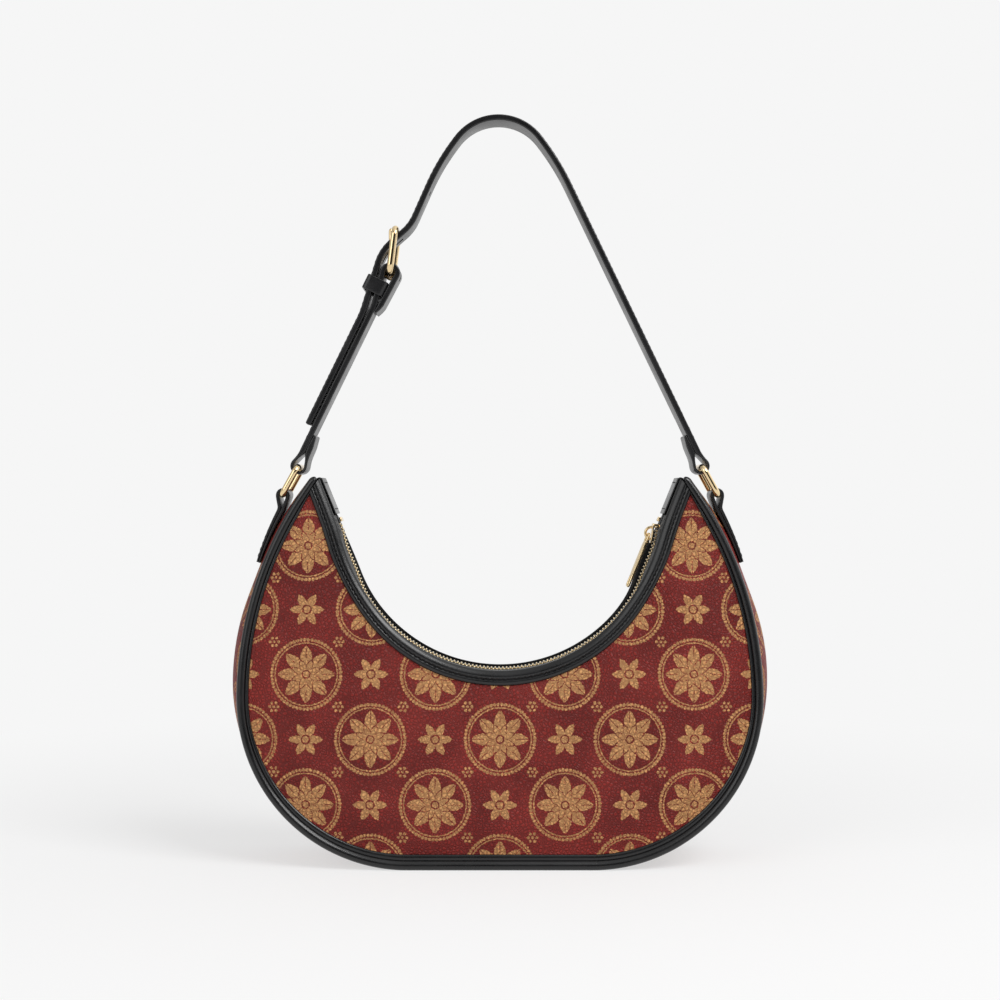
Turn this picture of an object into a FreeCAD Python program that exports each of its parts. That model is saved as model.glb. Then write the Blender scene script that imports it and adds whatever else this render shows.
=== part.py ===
"""Half moon bag: crescent panels on a gusset, curved zip mouth, and a buckled shoulder strap on two rings.

Millimetres. X to the right, +Y away from the viewer, Z up, origin on the floor under the middle of the bag.
"""
import math
import os
from types import SimpleNamespace

import FreeCAD, Part
import Sketcher
from FreeCAD import Placement, Rotation, Vector

doc = FreeCAD.newDocument("half_moon_bag")

# Driving dimensions
SIZES = {
    # body
    "base_half_length": 47,       # flat part of the base, from the middle
    "corner_radius": 88,          # lower corners of the panels
    "side_radius": 190,           # upper sides of the panels
    "tip_height": 200,
    "base_half_depth": 30,        # front face to the middle, at the floor
    "tip_half_depth": 12.5,       # the same at the tips
    "gusset_bulge": 5,            # how far the gusset swells at the sides
    "gusset_side_radius": 160,
    "base_trim": 0.1,             # taken off under the gusset, so that the bag stands flat
    "leather_thickness": 1.6,
    "seat_gap": 0.1,              # between sewn layers
    "piping_radius": 2.4,
    "piping_proud": 2.0,          # piping in front of the panel face
    # mouth and zip
    "mouth_radius": 79.5,         # rolled edge of the mouth
    "mouth_centre_height": 180.3,
    "mouth_flare": 22,            # degrees from upright, above the arcs
    "panel_edge_depth": 4.4,      # from the rolled edge down to the panel
    "zip_radius": 83.3,           # top of the facings
    "zip_centre_height": 182.5,
    "zip_arc_end": 82.5,          # degrees each side of straight down
    "band_width": 8,
    "band_thickness": 2.4,
    "facing_thickness": 1.4,
    "facing_half_gap": 4.9,       # from the middle to the facing's free edge
    "tape_thickness": 0.6,
    "tape_half_width": 12,
    "tooth_pitch": 2.0,
    "tooth_length": 0.85,
    "tooth_reach": 0.8,           # past the middle, into the other row
    "chain_half_width": 2.2,
    "chain_half_height": 1.1,
    "stop_length": 2.4,
    "stop_height": 1.3,
    "end_tab_thickness": 1.5,
    "end_tab_gap": 5.9,           # from the slider, zip closed, to the leather tab
    "end_tab_half_width": 8,
    # slider and pull
    "slider_angle": 81.5,          # degrees from straight down, zip closed
    "slider_length": 10.5,
    "slider_half_width": 4.2,
    "slider_nose_half_width": 2.9,
    "slider_plate": 1.0,
    "slider_clearance": 0.45,     # above and below the chain
    "neck_length": 2.2,
    "neck_width": 2.0,
    "bridge_radius": 3.2,
    "bridge_wire": 1.4,
    "pull_length": 28,
    "pull_width": 4.6,
    "pull_thickness": 1.3,
    "pull_lift": 13.5,              # degrees off the zip
    "pull_eye_length": 3.4,
    "pull_eye_width": 2.4,
    "pull_eye_wall": 1.1,
    "pull_slot_length": 4.4,
    "pull_slot_width": 1.7,
    # rings and tabs
    "tab_loop_drop": 9.75,        # from the tips down to the loop that holds the ring
    "ring_length": 16.4,          # between the bars' middles
    "ring_tilt": 29,              # degrees from upright
    "ring_wire": 3.2,
    "ring_inner_width": 20,
    "ring_corner_radius": 3.2,
    "tab_width": 17,
    "tab_leather": 1.5,
    "tab_slack": 1.0,             # round the ring's bar
    "tab_stand_off": 1,           # from the gusset to the loop
    "tab_bar_gap": 0.3,           # at the top of the loop, where the bar pulls
    "tab_length": 36,
    # strap
    "strap_width": 18,
    "strap_thickness": 3,
    "strap_apex_rise": 200.5,     # from the rings to where the crown's two sides would meet
    "strap_apex_x": -0.8,
    "strap_crown_radius": 27,
    "strap_slack": 1.4,           # round the ring's bar
    "strap_bar_gap": 0.5,         # at the bottom of the loop, where the bar pulls
    "strap_end_length": 24,
    "fold_length": 18,
    "hole_diameter": 3,
    "hole_pitch": 20,
    # buckle
    "buckle_x": -57.4,            # lower bar
    "buckle_rise": 101.4,         # from the rings to the lower bar
    "buckle_length": 23,
    "buckle_tilt": 7.2,           # degrees from upright
    "buckle_wire": 3.6,
    "buckle_inner_width": 20,
    "buckle_corner_radius": 4,
    "buckle_slack": 0.5,
    "buckle_fold_length": 25,
    "buckle_bend_length": 22,
    "tail_gap": 0.7,
    "tail_length": 90,            # from the buckle's lower bar
    "prong_wire": 2.2,
    "prong_clearance": 0.1,
    "prong_overhang": 1.6,
    "prong_slot_play": 0.5,
    "prong_swing": 8,             # degrees
    "keeper_length": 8,
    "keeper_wall": 1.2,
    "keeper_drop": 9.3,           # below the buckle's lower bar, along the strap
    "keeper_clearance": 0.35,
    # inside
    "lining_thickness": 0.6,
    "pocket_width": 120,
    "pocket_depth": 62,
    "pocket_base_height": 24,
    "overrun": 5,                 # how far a cut passes what it cuts
}

sheet = doc.addObject("Spreadsheet::Sheet", "Sizes")
for row, (alias, value) in enumerate(SIZES.items(), start=1):
    sheet.set(f"A{row}", alias)
    sheet.set(f"B{row}", str(value))
    sheet.setAlias(f"B{row}", alias)
doc.recompute()
size = SimpleNamespace(**{alias: float(sheet.get(alias)) for alias in SIZES})

# Values worked out from the driving dimensions
half_width = size.base_half_length + size.corner_radius
lean = math.atan((size.base_half_depth - size.tip_half_depth) / size.tip_height)
half_strap = size.strap_thickness / 2
ring_wire_radius = size.ring_wire / 2
buckle_wire_radius = size.buckle_wire / 2

SAME_POINT = 1e-5                 # ends closer than this are one point
built = {}


def polar(centre, radius, angle):
    """Point at an angle, in radians, on a circle in the XZ plane."""
    return (centre[0] + radius * math.cos(angle), centre[1] + radius * math.sin(angle))


def shift(point, along, across, direction):
    """Point moved along a unit direction and across it, to the left."""
    return (point[0] + along * direction[0] - across * direction[1],
            point[1] + along * direction[1] + across * direction[0])


def heading(start, end):
    """Unit direction from one point to another."""
    length = math.dist(start, end)
    return ((end[0] - start[0]) / length, (end[1] - start[1]) / length)


def line(start, end):
    return ("line", start, end)


def arc(centre, radius, begin, end):
    """Arc from one angle to another, in radians: anticlockwise when end is the larger."""
    return ("arc", centre, radius, begin, end)


def ends(piece):
    if piece[0] == "line":
        return piece[1], piece[2]
    kind, centre, radius, begin, end = piece
    return polar(centre, radius, begin), polar(centre, radius, end)


def backwards(pieces):
    """The same path walked the other way."""
    turned = []
    for piece in reversed(pieces):
        if piece[0] == "line":
            turned.append(line(piece[2], piece[1]))
        else:
            turned.append(arc(piece[1], piece[2], piece[4], piece[3]))
    return turned


def beside(pieces, distance):
    """Path at a distance to the left of a smooth path."""
    moved = []
    for piece in pieces:
        if piece[0] == "line":
            along = heading(piece[1], piece[2])
            moved.append(line(shift(piece[1], 0, distance, along), shift(piece[2], 0, distance, along)))
        else:
            kind, centre, radius, begin, end = piece
            moved.append(arc(centre, radius - distance if end > begin else radius + distance, begin, end))
    return moved


def joined(*paths):
    """One closed outline from paths laid end to end, with straight lines across their gaps."""
    pieces = [piece for path in paths for piece in path]
    outline = []
    for piece, following in zip(pieces, pieces[1:] + pieces[:1]):
        outline.append(piece)
        here, there = ends(piece)[1], ends(following)[0]
        if math.dist(here, there) > SAME_POINT:
            outline.append(line(here, there))
    return outline


def ribbon(pieces, thickness):
    """Closed outline of a strip of even thickness along a smooth path."""
    return joined(beside(pieces, thickness / 2), backwards(beside(pieces, -thickness / 2)))


def rounded(points, radii):
    """Smooth path through corner points, with an arc of the given radius at each inner point."""
    pieces = []
    start = points[0]
    for before, corner, after, radius in zip(points, points[1:], points[2:], radii):
        into, out = heading(before, corner), heading(corner, after)
        turn = math.atan2(into[0] * out[1] - into[1] * out[0], into[0] * out[0] + into[1] * out[1])
        side = math.copysign(1, turn)
        tangent = radius * math.tan(abs(turn) / 2)
        entry = shift(corner, -tangent, 0, into)
        centre = shift(entry, 0, side * radius, into)
        begin = math.atan2(entry[1] - centre[1], entry[0] - centre[0])
        pieces += [line(start, entry), arc(centre, radius, begin, begin + turn)]
        start = ends(pieces[-1])[1]
    return pieces + [line(start, points[-1])]


def mirrored(pieces):
    """The same path on the other side of the bag."""
    turned = []
    for piece in pieces:
        if piece[0] == "line":
            turned.append(line((-piece[1][0], piece[1][1]), (-piece[2][0], piece[2][1])))
        else:
            kind, centre, radius, begin, end = piece
            turned.append(arc((-centre[0], centre[1]), radius, math.pi - begin, math.pi - end))
    return turned


def box_outline(low, high):
    """Rectangle from its low corner to its high corner."""
    corners = [low, (high[0], low[1]), high, (low[0], high[1])]
    return polygon(corners)


def polygon(corners):
    return [line(start, end) for start, end in zip(corners, corners[1:] + corners[:1])]


def circle(centre, radius):
    """Outline of one whole circle."""
    return [("circle", centre, radius)]


# Bodies, sketches and features
def new_body(label):
    body = doc.addObject("PartDesign::Body", label)
    body.Label = label
    built[label] = body
    return body


def draw(sketch, outline):
    """Adds an outline to a sketch and ties each end to the next."""
    first = sketch.GeometryCount
    if outline[0][0] == "circle":
        kind, centre, radius = outline[0]
        sketch.addGeometry(Part.Circle(Vector(*centre, 0), Vector(0, 0, 1), radius), False)
        return
    for piece in outline:
        start, end = (Vector(x, y, 0) for x, y in ends(piece))
        if piece[0] == "line":
            sketch.addGeometry(Part.LineSegment(start, end), False)
        else:
            kind, centre, radius, begin, finish = piece
            middle = Vector(*polar(centre, radius, (begin + finish) / 2), 0)
            sketch.addGeometry(Part.Arc(start, middle, end), False)
    last = sketch.GeometryCount
    for here in range(first, last):
        there = first + (here + 1 - first) % (last - first)
        pairs = [(sketch.getPoint(here, a).distanceToPoint(sketch.getPoint(there, b)), a, b)
                 for a in (1, 2) for b in (1, 2)]
        gap, a, b = min(pairs)
        if gap < SAME_POINT:
            sketch.addConstraint(Sketcher.Constraint("Coincident", here, a, there, b))


def new_sketch(body, name, outlines, role="XZ_Plane", offset=Placement()):
    """Sketch on one of the body's own planes, moved by an offset in that plane's axes."""
    sketch = body.newObject("Sketcher::SketchObject", name)
    plane = next(feature for feature in body.Origin.OriginFeatures if feature.Role == role)
    sketch.AttachmentSupport = [(plane, "")]
    sketch.MapMode = "FlatFace"
    sketch.AttachmentOffset = offset
    for outline in outlines:
        draw(sketch, outline)
    return sketch


def add_pad(body, sketch, length, symmetric=False, reverse=False, kind="PartDesign::Pad"):
    """Pad, or pocket, of a sketch by a length from the sheet."""
    feature = body.newObject(kind, sketch.Name + "_" + kind.split("::")[1].lower())
    feature.Profile = sketch
    feature.setExpression("Length", length)
    feature.Midplane = symmetric
    feature.Reversed = reverse
    doc.recompute()
    body.Tip = feature
    return feature


def add_pocket(body, sketch, length):
    return add_pad(body, sketch, length, symmetric=True, kind="PartDesign::Pocket")


def strip_body(label, outlines, width):
    """Piece cut from a strip: its side view in the XZ plane, and its width along Y."""
    body = new_body(label)
    add_pad(body, new_sketch(body, label + "_profile", outlines), width, symmetric=True)
    return body


def lean_body(body, side, outward):
    """Sets a flat piece on the front (-1) or back (1) face of the bag, which lean in towards the tips."""
    body.Placement = Placement(Vector(0, side * (size.base_half_depth + outward), 0),
                               Rotation(Vector(side, 0, 0), math.degrees(lean)))


def face_body(label, outlines, side, outward, thickness, grows_out=False):
    """Flat piece that lies along the front or back face and grows into the bag, or out of it."""
    body = new_body(label)
    sketch = new_sketch(body, label + "_outline", outlines)
    add_pad(body, sketch, thickness, reverse=(side < 0) != grows_out)
    lean_body(body, side, outward)
    return body


def finished(label, shape):
    """Piece made of many small solids."""
    feature = doc.addObject("Part::Feature", label)
    feature.Label = label
    feature.Shape = shape
    built[label] = feature
    return feature


# Outline of the bag
def shell_path(corner, side, inset, top):
    """From the left tip down round the base to the right tip, an inset inside the outline."""
    side_x = size.base_half_length + corner - side
    rise = math.asin((top - corner) / (side - inset))
    right = [arc((size.base_half_length, corner), corner - inset, -math.pi / 2, 0),
             arc((side_x, corner), side - inset, 0, rise)]
    base = [line((-size.base_half_length, inset), (size.base_half_length, inset))]
    return backwards(mirrored(right)) + base + right


def flare_line(track, depth):
    """Start and direction of the straight run above a track's arc, on the right, a depth below it."""
    centre, radius, arc_end = track
    upward = (math.sin(flare), math.cos(flare))
    return shift(polar(centre, radius, arc_end - math.pi / 2), 0, -depth, upward), upward


def along_to_circle(start, direction, centre, radius):
    """Point ahead on a line where it leaves a circle."""
    offset = (start[0] - centre[0], start[1] - centre[1])
    half = offset[0] * direction[0] + offset[1] * direction[1]
    rest = offset[0] ** 2 + offset[1] ** 2 - radius ** 2
    return shift(start, -half + math.sqrt(max(0, half ** 2 - rest)), 0, direction)


def tip_point(track, inset, depth):
    """Right tip of a piece, where its outer edge meets its mouth edge."""
    start, upward = flare_line(track, depth)
    side_centre = (half_width - size.side_radius, size.corner_radius)
    return along_to_circle(start, upward, side_centre, size.side_radius - inset)


def flare_top(track, depth, height):
    """Point at a height on the straight run."""
    start, upward = flare_line(track, depth)
    return shift(start, (height - start[1]) / upward[1], 0, upward)


def mouth_path(track, depth, top):
    """From the left tip along a track to the right tip, a depth below it; top is the right end."""
    centre, radius, arc_end = track
    start, upward = flare_line(track, depth)
    knee = along_to_circle(start, upward, centre, radius + depth)
    turn = math.atan2(knee[1] - centre[1], knee[0])
    right = line(knee, top)
    middle = arc(centre, radius + depth, math.pi - turn, 2 * math.pi + turn)
    return backwards(mirrored([right])) + [middle, right]


def crescent(inset, depth):
    """Closed outline of a panel: an inset inside the outline, and a depth below the rolled edge."""
    tip = tip_point(mouth_track, inset, depth)
    return joined(shell_path(size.corner_radius, size.side_radius, inset, tip[1]),
                  backwards(mouth_path(mouth_track, depth, tip)))


def mouth_band(track, upper, lower, inset):
    """Closed outline of a band between two depths below a track, cut off at its tips by the piping."""
    high, low = tip_point(track, inset, upper), tip_point(track, inset, lower)
    return joined(mouth_path(track, upper, high), backwards(mouth_path(track, lower, low)))


flare = math.radians(size.mouth_flare)
zip_centre = (0, size.zip_centre_height)
zip_track = (zip_centre, size.zip_radius, math.radians(size.zip_arc_end))
mouth_track = ((0, size.mouth_centre_height), size.mouth_radius, math.pi / 2 - flare)
piping_inset = 2 * size.piping_radius + size.seat_gap
lining_set_back = size.leather_thickness + size.seat_gap
pocket_set_back = lining_set_back + size.lining_thickness + size.seat_gap
gusset_set_back = 2 * size.piping_radius - size.piping_proud + size.seat_gap
lining_mouth_depth = size.band_width - size.leather_thickness

for side, name in ((-1, "front"), (1, "back")):
    face_body(name + "_panel", [crescent(piping_inset, size.panel_edge_depth)],
              side, 0, "Sizes.leather_thickness")
    face_body(name + "_top_band", [mouth_band(mouth_track, 0, size.band_width, piping_inset)],
              side, size.seat_gap, "Sizes.band_thickness", grows_out=True)
    face_body("lining_" + name, [crescent(piping_inset, lining_mouth_depth)],
              side, -lining_set_back, "Sizes.lining_thickness")

# Piping: a round cord carried along the edge of each panel
for side, name in ((-1, "front"), (1, "back")):
    body = new_body(name + "_piping")
    edge = shell_path(size.corner_radius, size.side_radius, size.piping_radius, size.tip_height)
    spine = new_sketch(body, name + "_piping_path", [edge])
    cord = circle((0, size.piping_radius), size.piping_radius)
    section = new_sketch(body, name + "_piping_section", [cord], role="YZ_Plane")
    pipe = body.newObject("PartDesign::AdditivePipe", name + "_piping_sweep")
    pipe.Profile = section
    pipe.Spine = (spine, [])
    doc.recompute()
    body.Tip = pipe
    lean_body(body, side, size.piping_proud - size.piping_radius)


# Gusset: a strip from tip to tip that swells between the two panels
def edge_offset(side, set_back):
    """Offset, in a sketch's axes, to a plane parallel to the front or back face."""
    return Placement(Vector(0, 0, -side * (size.base_half_depth - set_back)),
                     Rotation(Vector(side, 0, 0), math.degrees(lean)))


def wall_section(corner, side, inset, thickness, top):
    """Closed outline of a strip on edge, an inset inside the outline."""
    return joined(shell_path(corner, side, inset, top),
                  backwards(shell_path(corner, side, inset + thickness, top)))


def wall_body(label, sections):
    """Loft through the strip's sections, from front to back."""
    body = new_body(label)
    sketches = [new_sketch(body, f"{label}_section_{count}", [outline], offset=offset)
                for count, (outline, offset) in enumerate(sections)]
    loft = body.newObject("PartDesign::AdditiveLoft", label + "_loft")
    loft.Profile = sketches[0]
    loft.Sections = sketches[1:]
    doc.recompute()
    body.Tip = loft
    return body


bulged_corner = size.corner_radius + size.gusset_bulge
gusset_thickness = size.leather_thickness + size.base_trim
gusset_edge = wall_section(size.corner_radius, size.side_radius, -size.base_trim,
                           gusset_thickness, size.tip_height)
gusset_middle = wall_section(bulged_corner, size.gusset_side_radius, -size.base_trim,
                             gusset_thickness, size.tip_height)
gusset = wall_body("gusset", [(gusset_edge, edge_offset(-1, gusset_set_back)), (gusset_middle, Placement()),
                              (gusset_edge, edge_offset(1, gusset_set_back))])
underside = box_outline((-half_width, -size.overrun), (half_width, 0))
add_pocket(gusset, new_sketch(gusset, "gusset_underside", [underside]), "2 * Sizes.base_half_depth")
lining_top = tip_point(mouth_track, piping_inset, lining_mouth_depth)[1]
lining_edge = wall_section(size.corner_radius, size.side_radius, lining_set_back,
                           size.lining_thickness, lining_top)
wall_body("lining_gusset", [(lining_edge, edge_offset(-1, gusset_set_back)),
                            (lining_edge, edge_offset(1, gusset_set_back))])

pocket_low = (-size.pocket_width / 2, size.pocket_base_height)
pocket_high = (size.pocket_width / 2, size.pocket_base_height + size.pocket_depth)
face_body("inner_pocket", [box_outline(pocket_low, pocket_high)],
          1, -pocket_set_back, "Sizes.lining_thickness")

# Zip: facings, tapes, teeth, stops and end tabs
chain_depth = -(size.seat_gap + size.tape_thickness / 2)
chain_radius = size.zip_radius + chain_depth
zip_inset = piping_inset + size.seat_gap + size.leather_thickness / 2
slider_turn = math.radians(size.slider_angle)
slider_end = chain_radius * (slider_turn - math.radians(size.zip_arc_end)) + size.slider_length / 2
tab_low = -size.seat_gap
tab_tip = tip_point(zip_track, zip_inset, tab_low)
tab_start, flare_up = flare_line(zip_track, tab_low)
tab_foot = shift(tab_start, slider_end + size.end_tab_gap, 0, flare_up)
tape_top_height = tab_foot[1] - size.tape_thickness


def half_zip_body(label, side, outline, inner_edge, width):
    """Strip of the mouth on one side of the zip's middle, from its inner edge outwards."""
    body = new_body(label)
    offset = Placement(Vector(0, 0, -side * inner_edge), Rotation())
    sketch = new_sketch(body, label + "_outline", [outline], offset=offset)
    add_pad(body, sketch, width, reverse=side > 0)
    return body


def face_y(height):
    """Distance from the middle to the leaning face, at a height."""
    return size.base_half_depth - height * math.tan(lean)


for side, name in ((-1, "front"), (1, "back")):
    facing_outline = mouth_band(zip_track, 0, size.facing_thickness, zip_inset)
    facing = half_zip_body("zip_facing_" + name, side, facing_outline,
                           size.facing_half_gap, "Sizes.base_half_depth")
    low, high = 0, size.tip_height + size.overrun
    far = size.base_half_depth + size.facing_half_gap + size.overrun
    trim = polygon([(side * far, low), (side * face_y(low), low),
                    (side * face_y(high), high), (side * far, high)])
    add_pocket(facing, new_sketch(facing, name + "_facing_trim", [trim], role="YZ_Plane"),
               "2 * (Sizes.base_half_length + Sizes.corner_radius)")
    upper, lower = chain_depth - size.tape_thickness / 2, chain_depth + size.tape_thickness / 2
    tape_outline = joined(
        mouth_path(zip_track, upper, flare_top(zip_track, upper, tape_top_height)),
        backwards(mouth_path(zip_track, lower, flare_top(zip_track, lower, tape_top_height))))
    half_zip_body("zip_tape_" + name, side, tape_outline, size.chain_half_width + size.seat_gap,
                  "Sizes.tape_half_width - Sizes.chain_half_width")


def small_box(length, width, height):
    """Box about its own middle."""
    return Part.makeBox(length, width, height, Vector(-length / 2, -width / 2, -height / 2))


def on_chain(angle):
    """Placement on the zip's arc: local X along the zip towards the right, local Z out of the bag."""
    place = polar(zip_centre, chain_radius, angle - math.pi / 2)
    return Placement(Vector(place[0], 0, place[1]), Rotation(Vector(0, 1, 0), -math.degrees(angle)))


closed_reach = size.slider_length / 2 - size.neck_length - size.tooth_pitch / 2
teeth_begin = -math.radians(size.zip_arc_end)
teeth_finish = slider_turn + closed_reach / chain_radius
tooth_step = size.tooth_pitch / chain_radius
tooth_count = int((teeth_finish - teeth_begin) / tooth_step)
tooth_width = size.chain_half_width + size.tooth_reach
for side, name, phase_share in ((-1, "front", 0.25), (1, "back", 0.75)):
    tooth = small_box(size.tooth_length, tooth_width, 2 * size.chain_half_height)
    tooth.translate(Vector(0, side * (size.chain_half_width - size.tooth_reach) / 2, 0))
    teeth = []
    for count in range(tooth_count):
        copy = tooth.copy()
        place = on_chain(teeth_finish - (count + phase_share) * tooth_step)
        copy.Placement = place.multiply(tooth.Placement)
        teeth.append(copy)
    finished("zip_teeth_" + name, Part.makeCompound(teeth))

stop_depth = chain_depth - size.tape_thickness / 2 - size.seat_gap - size.stop_height / 2
stop_middle = shift(flare_line(zip_track, stop_depth)[0], slider_end + size.stop_length, 0, flare_up)
stops = []
for across, width, mirror in ((-1, size.chain_half_width, 1), (1, size.chain_half_width, 1),
                              (0, 2 * size.facing_half_gap - 2 * size.seat_gap, -1)):
    stop = small_box(size.stop_length, width, size.stop_height)
    off_middle = across * ((size.chain_half_width + width) / 2 + size.seat_gap)
    stop.Placement = Placement(Vector(mirror * stop_middle[0], off_middle, stop_middle[1]),
                               Rotation(Vector(0, 1, 0), -mirror * (90 - size.mouth_flare)))
    stops.append(stop)
finished("zip_stops", Part.makeCompound(stops))

for mirror, name in ((-1, "left"), (1, "right")):
    edge = [line(tab_foot, tab_tip)]
    outline = joined(edge, backwards(beside(edge, size.end_tab_thickness)))
    strip_body("zip_end_tab_" + name, [outline if mirror > 0 else mirrored(outline)],
               "2 * Sizes.end_tab_half_width")

# Slider and pull, in the slider's own axes: X along the zip, Z out of the bag
plate_low = size.chain_half_height + size.slider_clearance
plate_high = plate_low + size.slider_plate
slider_seat = on_chain(slider_turn)
slider = new_body("zip_slider")
rear, front = -size.slider_length / 2, size.slider_length / 2
plan = polygon([(rear, -size.slider_nose_half_width), (0, -size.slider_half_width),
                (front, -size.slider_half_width), (front, size.slider_half_width),
                (0, size.slider_half_width), (rear, size.slider_nose_half_width)])
neck = box_outline((front - size.neck_length, -size.neck_width / 2), (front, size.neck_width / 2))
for name, outline, start, length in (
        ("lower_plate", plan, -plate_high, "Sizes.slider_plate"),
        ("neck", neck, -plate_low, "2 * (Sizes.chain_half_height + Sizes.slider_clearance)"),
        ("upper_plate", plan, plate_low, "Sizes.slider_plate")):
    add_pad(slider, new_sketch(slider, "slider_" + name, [outline], role="XY_Plane",
                               offset=Placement(Vector(0, 0, start), Rotation())), length)
bridge_foot = (0, plate_high)
bridge = ribbon([arc(bridge_foot, size.bridge_radius, 0, math.pi)], size.bridge_wire)
add_pad(slider, new_sketch(slider, "slider_bridge", [bridge]), "Sizes.bridge_wire", symmetric=True)
slider.Placement = slider_seat

eye_angle_share = 5 / 6
eye = polar(bridge_foot, size.bridge_radius, eye_angle_share * math.pi)
pull = new_body("zip_pull")
eye_end = size.pull_eye_length / 2 + size.pull_eye_wall
pull_plan = box_outline((-eye_end, -size.pull_width / 2), (size.pull_length, size.pull_width / 2))
pull_eye = box_outline((-size.pull_eye_length / 2, -size.pull_eye_width / 2),
                       (size.pull_eye_length / 2, size.pull_eye_width / 2))
slot_end = size.pull_length - size.pull_slot_width
pull_slot = box_outline((slot_end - size.pull_slot_length, -size.pull_slot_width / 2),
                        (slot_end, size.pull_slot_width / 2))
add_pad(pull, new_sketch(pull, "pull_plan", [pull_plan, pull_eye, pull_slot], role="XY_Plane"),
        "Sizes.pull_thickness", symmetric=True)
pull.Placement = slider_seat.multiply(
    Placement(Vector(eye[0], 0, eye[1]), Rotation(Vector(0, 1, 0), 180 + size.pull_lift)))

# Rings and the tabs that hold them to the gusset
gusset_centre = (size.base_half_length + bulged_corner - size.gusset_side_radius, bulged_corner)
tab_hole = ring_wire_radius + size.tab_slack
tab_loop = tab_hole + size.tab_leather
tab_seat = size.gusset_side_radius + size.base_trim + size.seat_gap
loop_distance = tab_seat + size.tab_stand_off + tab_loop
loop_height = size.tip_height - size.tab_loop_drop
loop_angle = math.asin((loop_height - gusset_centre[1]) / loop_distance)
loop_centre = polar(gusset_centre, loop_distance, loop_angle)
tab_up = (-math.sin(loop_angle), math.cos(loop_angle))
tab_bar = shift(loop_centre, size.tab_slack - size.tab_bar_gap, 0, tab_up)
ring_lean = math.radians(size.ring_tilt)
strap_bar = (tab_bar[0] - size.ring_length * math.sin(ring_lean),
             tab_bar[1] + size.ring_length * math.cos(ring_lean))
tab_bottom = loop_angle - size.tab_length / tab_seat
tab_neck = loop_angle - 2 * tab_loop / tab_seat
loop_end_share = 1 / 3
tab_outline = joined(
    [arc(gusset_centre, tab_seat, tab_bottom, loop_angle)],
    [arc(loop_centre, tab_loop, loop_angle + math.pi, loop_angle - loop_end_share * math.pi)],
    [arc(gusset_centre, tab_seat + 2 * size.tab_leather, tab_neck, tab_bottom)])


def wire_frame(label, length, inner_width, wire, corner):
    """Closed rounded frame of round wire: X from the first bar to the second, bars along Y."""
    body = new_body(label)
    reach = (inner_width + wire) / 2
    corners = [(0, -reach), (length, -reach), (length, reach), (0, reach)]
    loop = rounded([(0, 0)] + corners + [(0, 0)], [corner] * len(corners))
    spine = new_sketch(body, label + "_path", [loop], role="XY_Plane")
    section = new_sketch(body, label + "_section", [circle((0, 0), wire / 2)])
    sweep = body.newObject("PartDesign::AdditivePipe", label + "_sweep")
    sweep.Profile = section
    sweep.Spine = (spine, [])
    doc.recompute()
    body.Tip = sweep
    return body


for mirror, name in ((-1, "left"), (1, "right")):
    outline = tab_outline if mirror > 0 else mirrored(tab_outline)
    hole = circle((mirror * loop_centre[0], loop_centre[1]), tab_hole)
    strip_body("strap_tab_" + name, [outline, hole], "Sizes.tab_width")
    ring = wire_frame("ring_" + name, size.ring_length, size.ring_inner_width, size.ring_wire,
                      size.ring_corner_radius)
    ring.Placement = Placement(Vector(mirror * tab_bar[0], 0, tab_bar[1]),
                               Rotation(Vector(0, 1, 0), -(90 + mirror * size.ring_tilt)))


# Strap
def off_line(start, end, shares, side):
    """Corner point beside a line: a share of its length along it, and another across to one side."""
    length = math.dist(start, end)
    return shift(start, shares[0] * length, side * shares[1] * length, heading(start, end))


def turn_at(before, corner, after):
    """Size of the turn that a path takes at a corner."""
    into, out = heading(before, corner), heading(corner, after)
    return abs(math.atan2(into[0] * out[1] - into[1] * out[0], into[0] * out[0] + into[1] * out[1]))


def passing(bar, end, aside):
    """Direction of a line to an end point that passes a bar at a distance, with the bar on its right."""
    way = heading(bar, end)
    turn = -math.asin(aside / math.dist(bar, end))
    return (way[0] * math.cos(turn) - way[1] * math.sin(turn), way[0] * math.sin(turn) + way[1] * math.cos(turn))


def folded_end(bar, direction, side, radius, start, bend, fold, aside):
    """Path of a strap end: along the strap, aside of a bar, round it, and back to the fold's end on one side."""
    layer = size.strap_thickness + size.seat_gap
    corner = shift(bar, bend, -side * aside, direction)
    knee = shift(bar, min(bend, fold), side * (layer - aside), direction)
    finish = shift(bar, fold, side * (layer - aside), direction)
    arrive = (math.atan2(corner[1] - bar[1], corner[0] - bar[0])
              - side * math.acos(radius / math.dist(corner, bar)))
    leave = (math.atan2(knee[1] - bar[1], knee[0] - bar[0])
             + side * math.acos(radius / math.dist(knee, bar)))
    turn = (leave - arrive) % (2 * math.pi) - (2 * math.pi if side > 0 else 0)
    entry = polar(bar, radius, arrive)
    lead = rounded([shift(bar, start, -side * aside, direction), corner, entry], [bend])
    leaving = polar(bar, radius, leave)
    back = rounded([leaving, knee, finish], [bend]) if fold > bend else [line(leaving, finish)]
    return lead + [arc(bar, radius, arrive, arrive + turn)] + back


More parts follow.
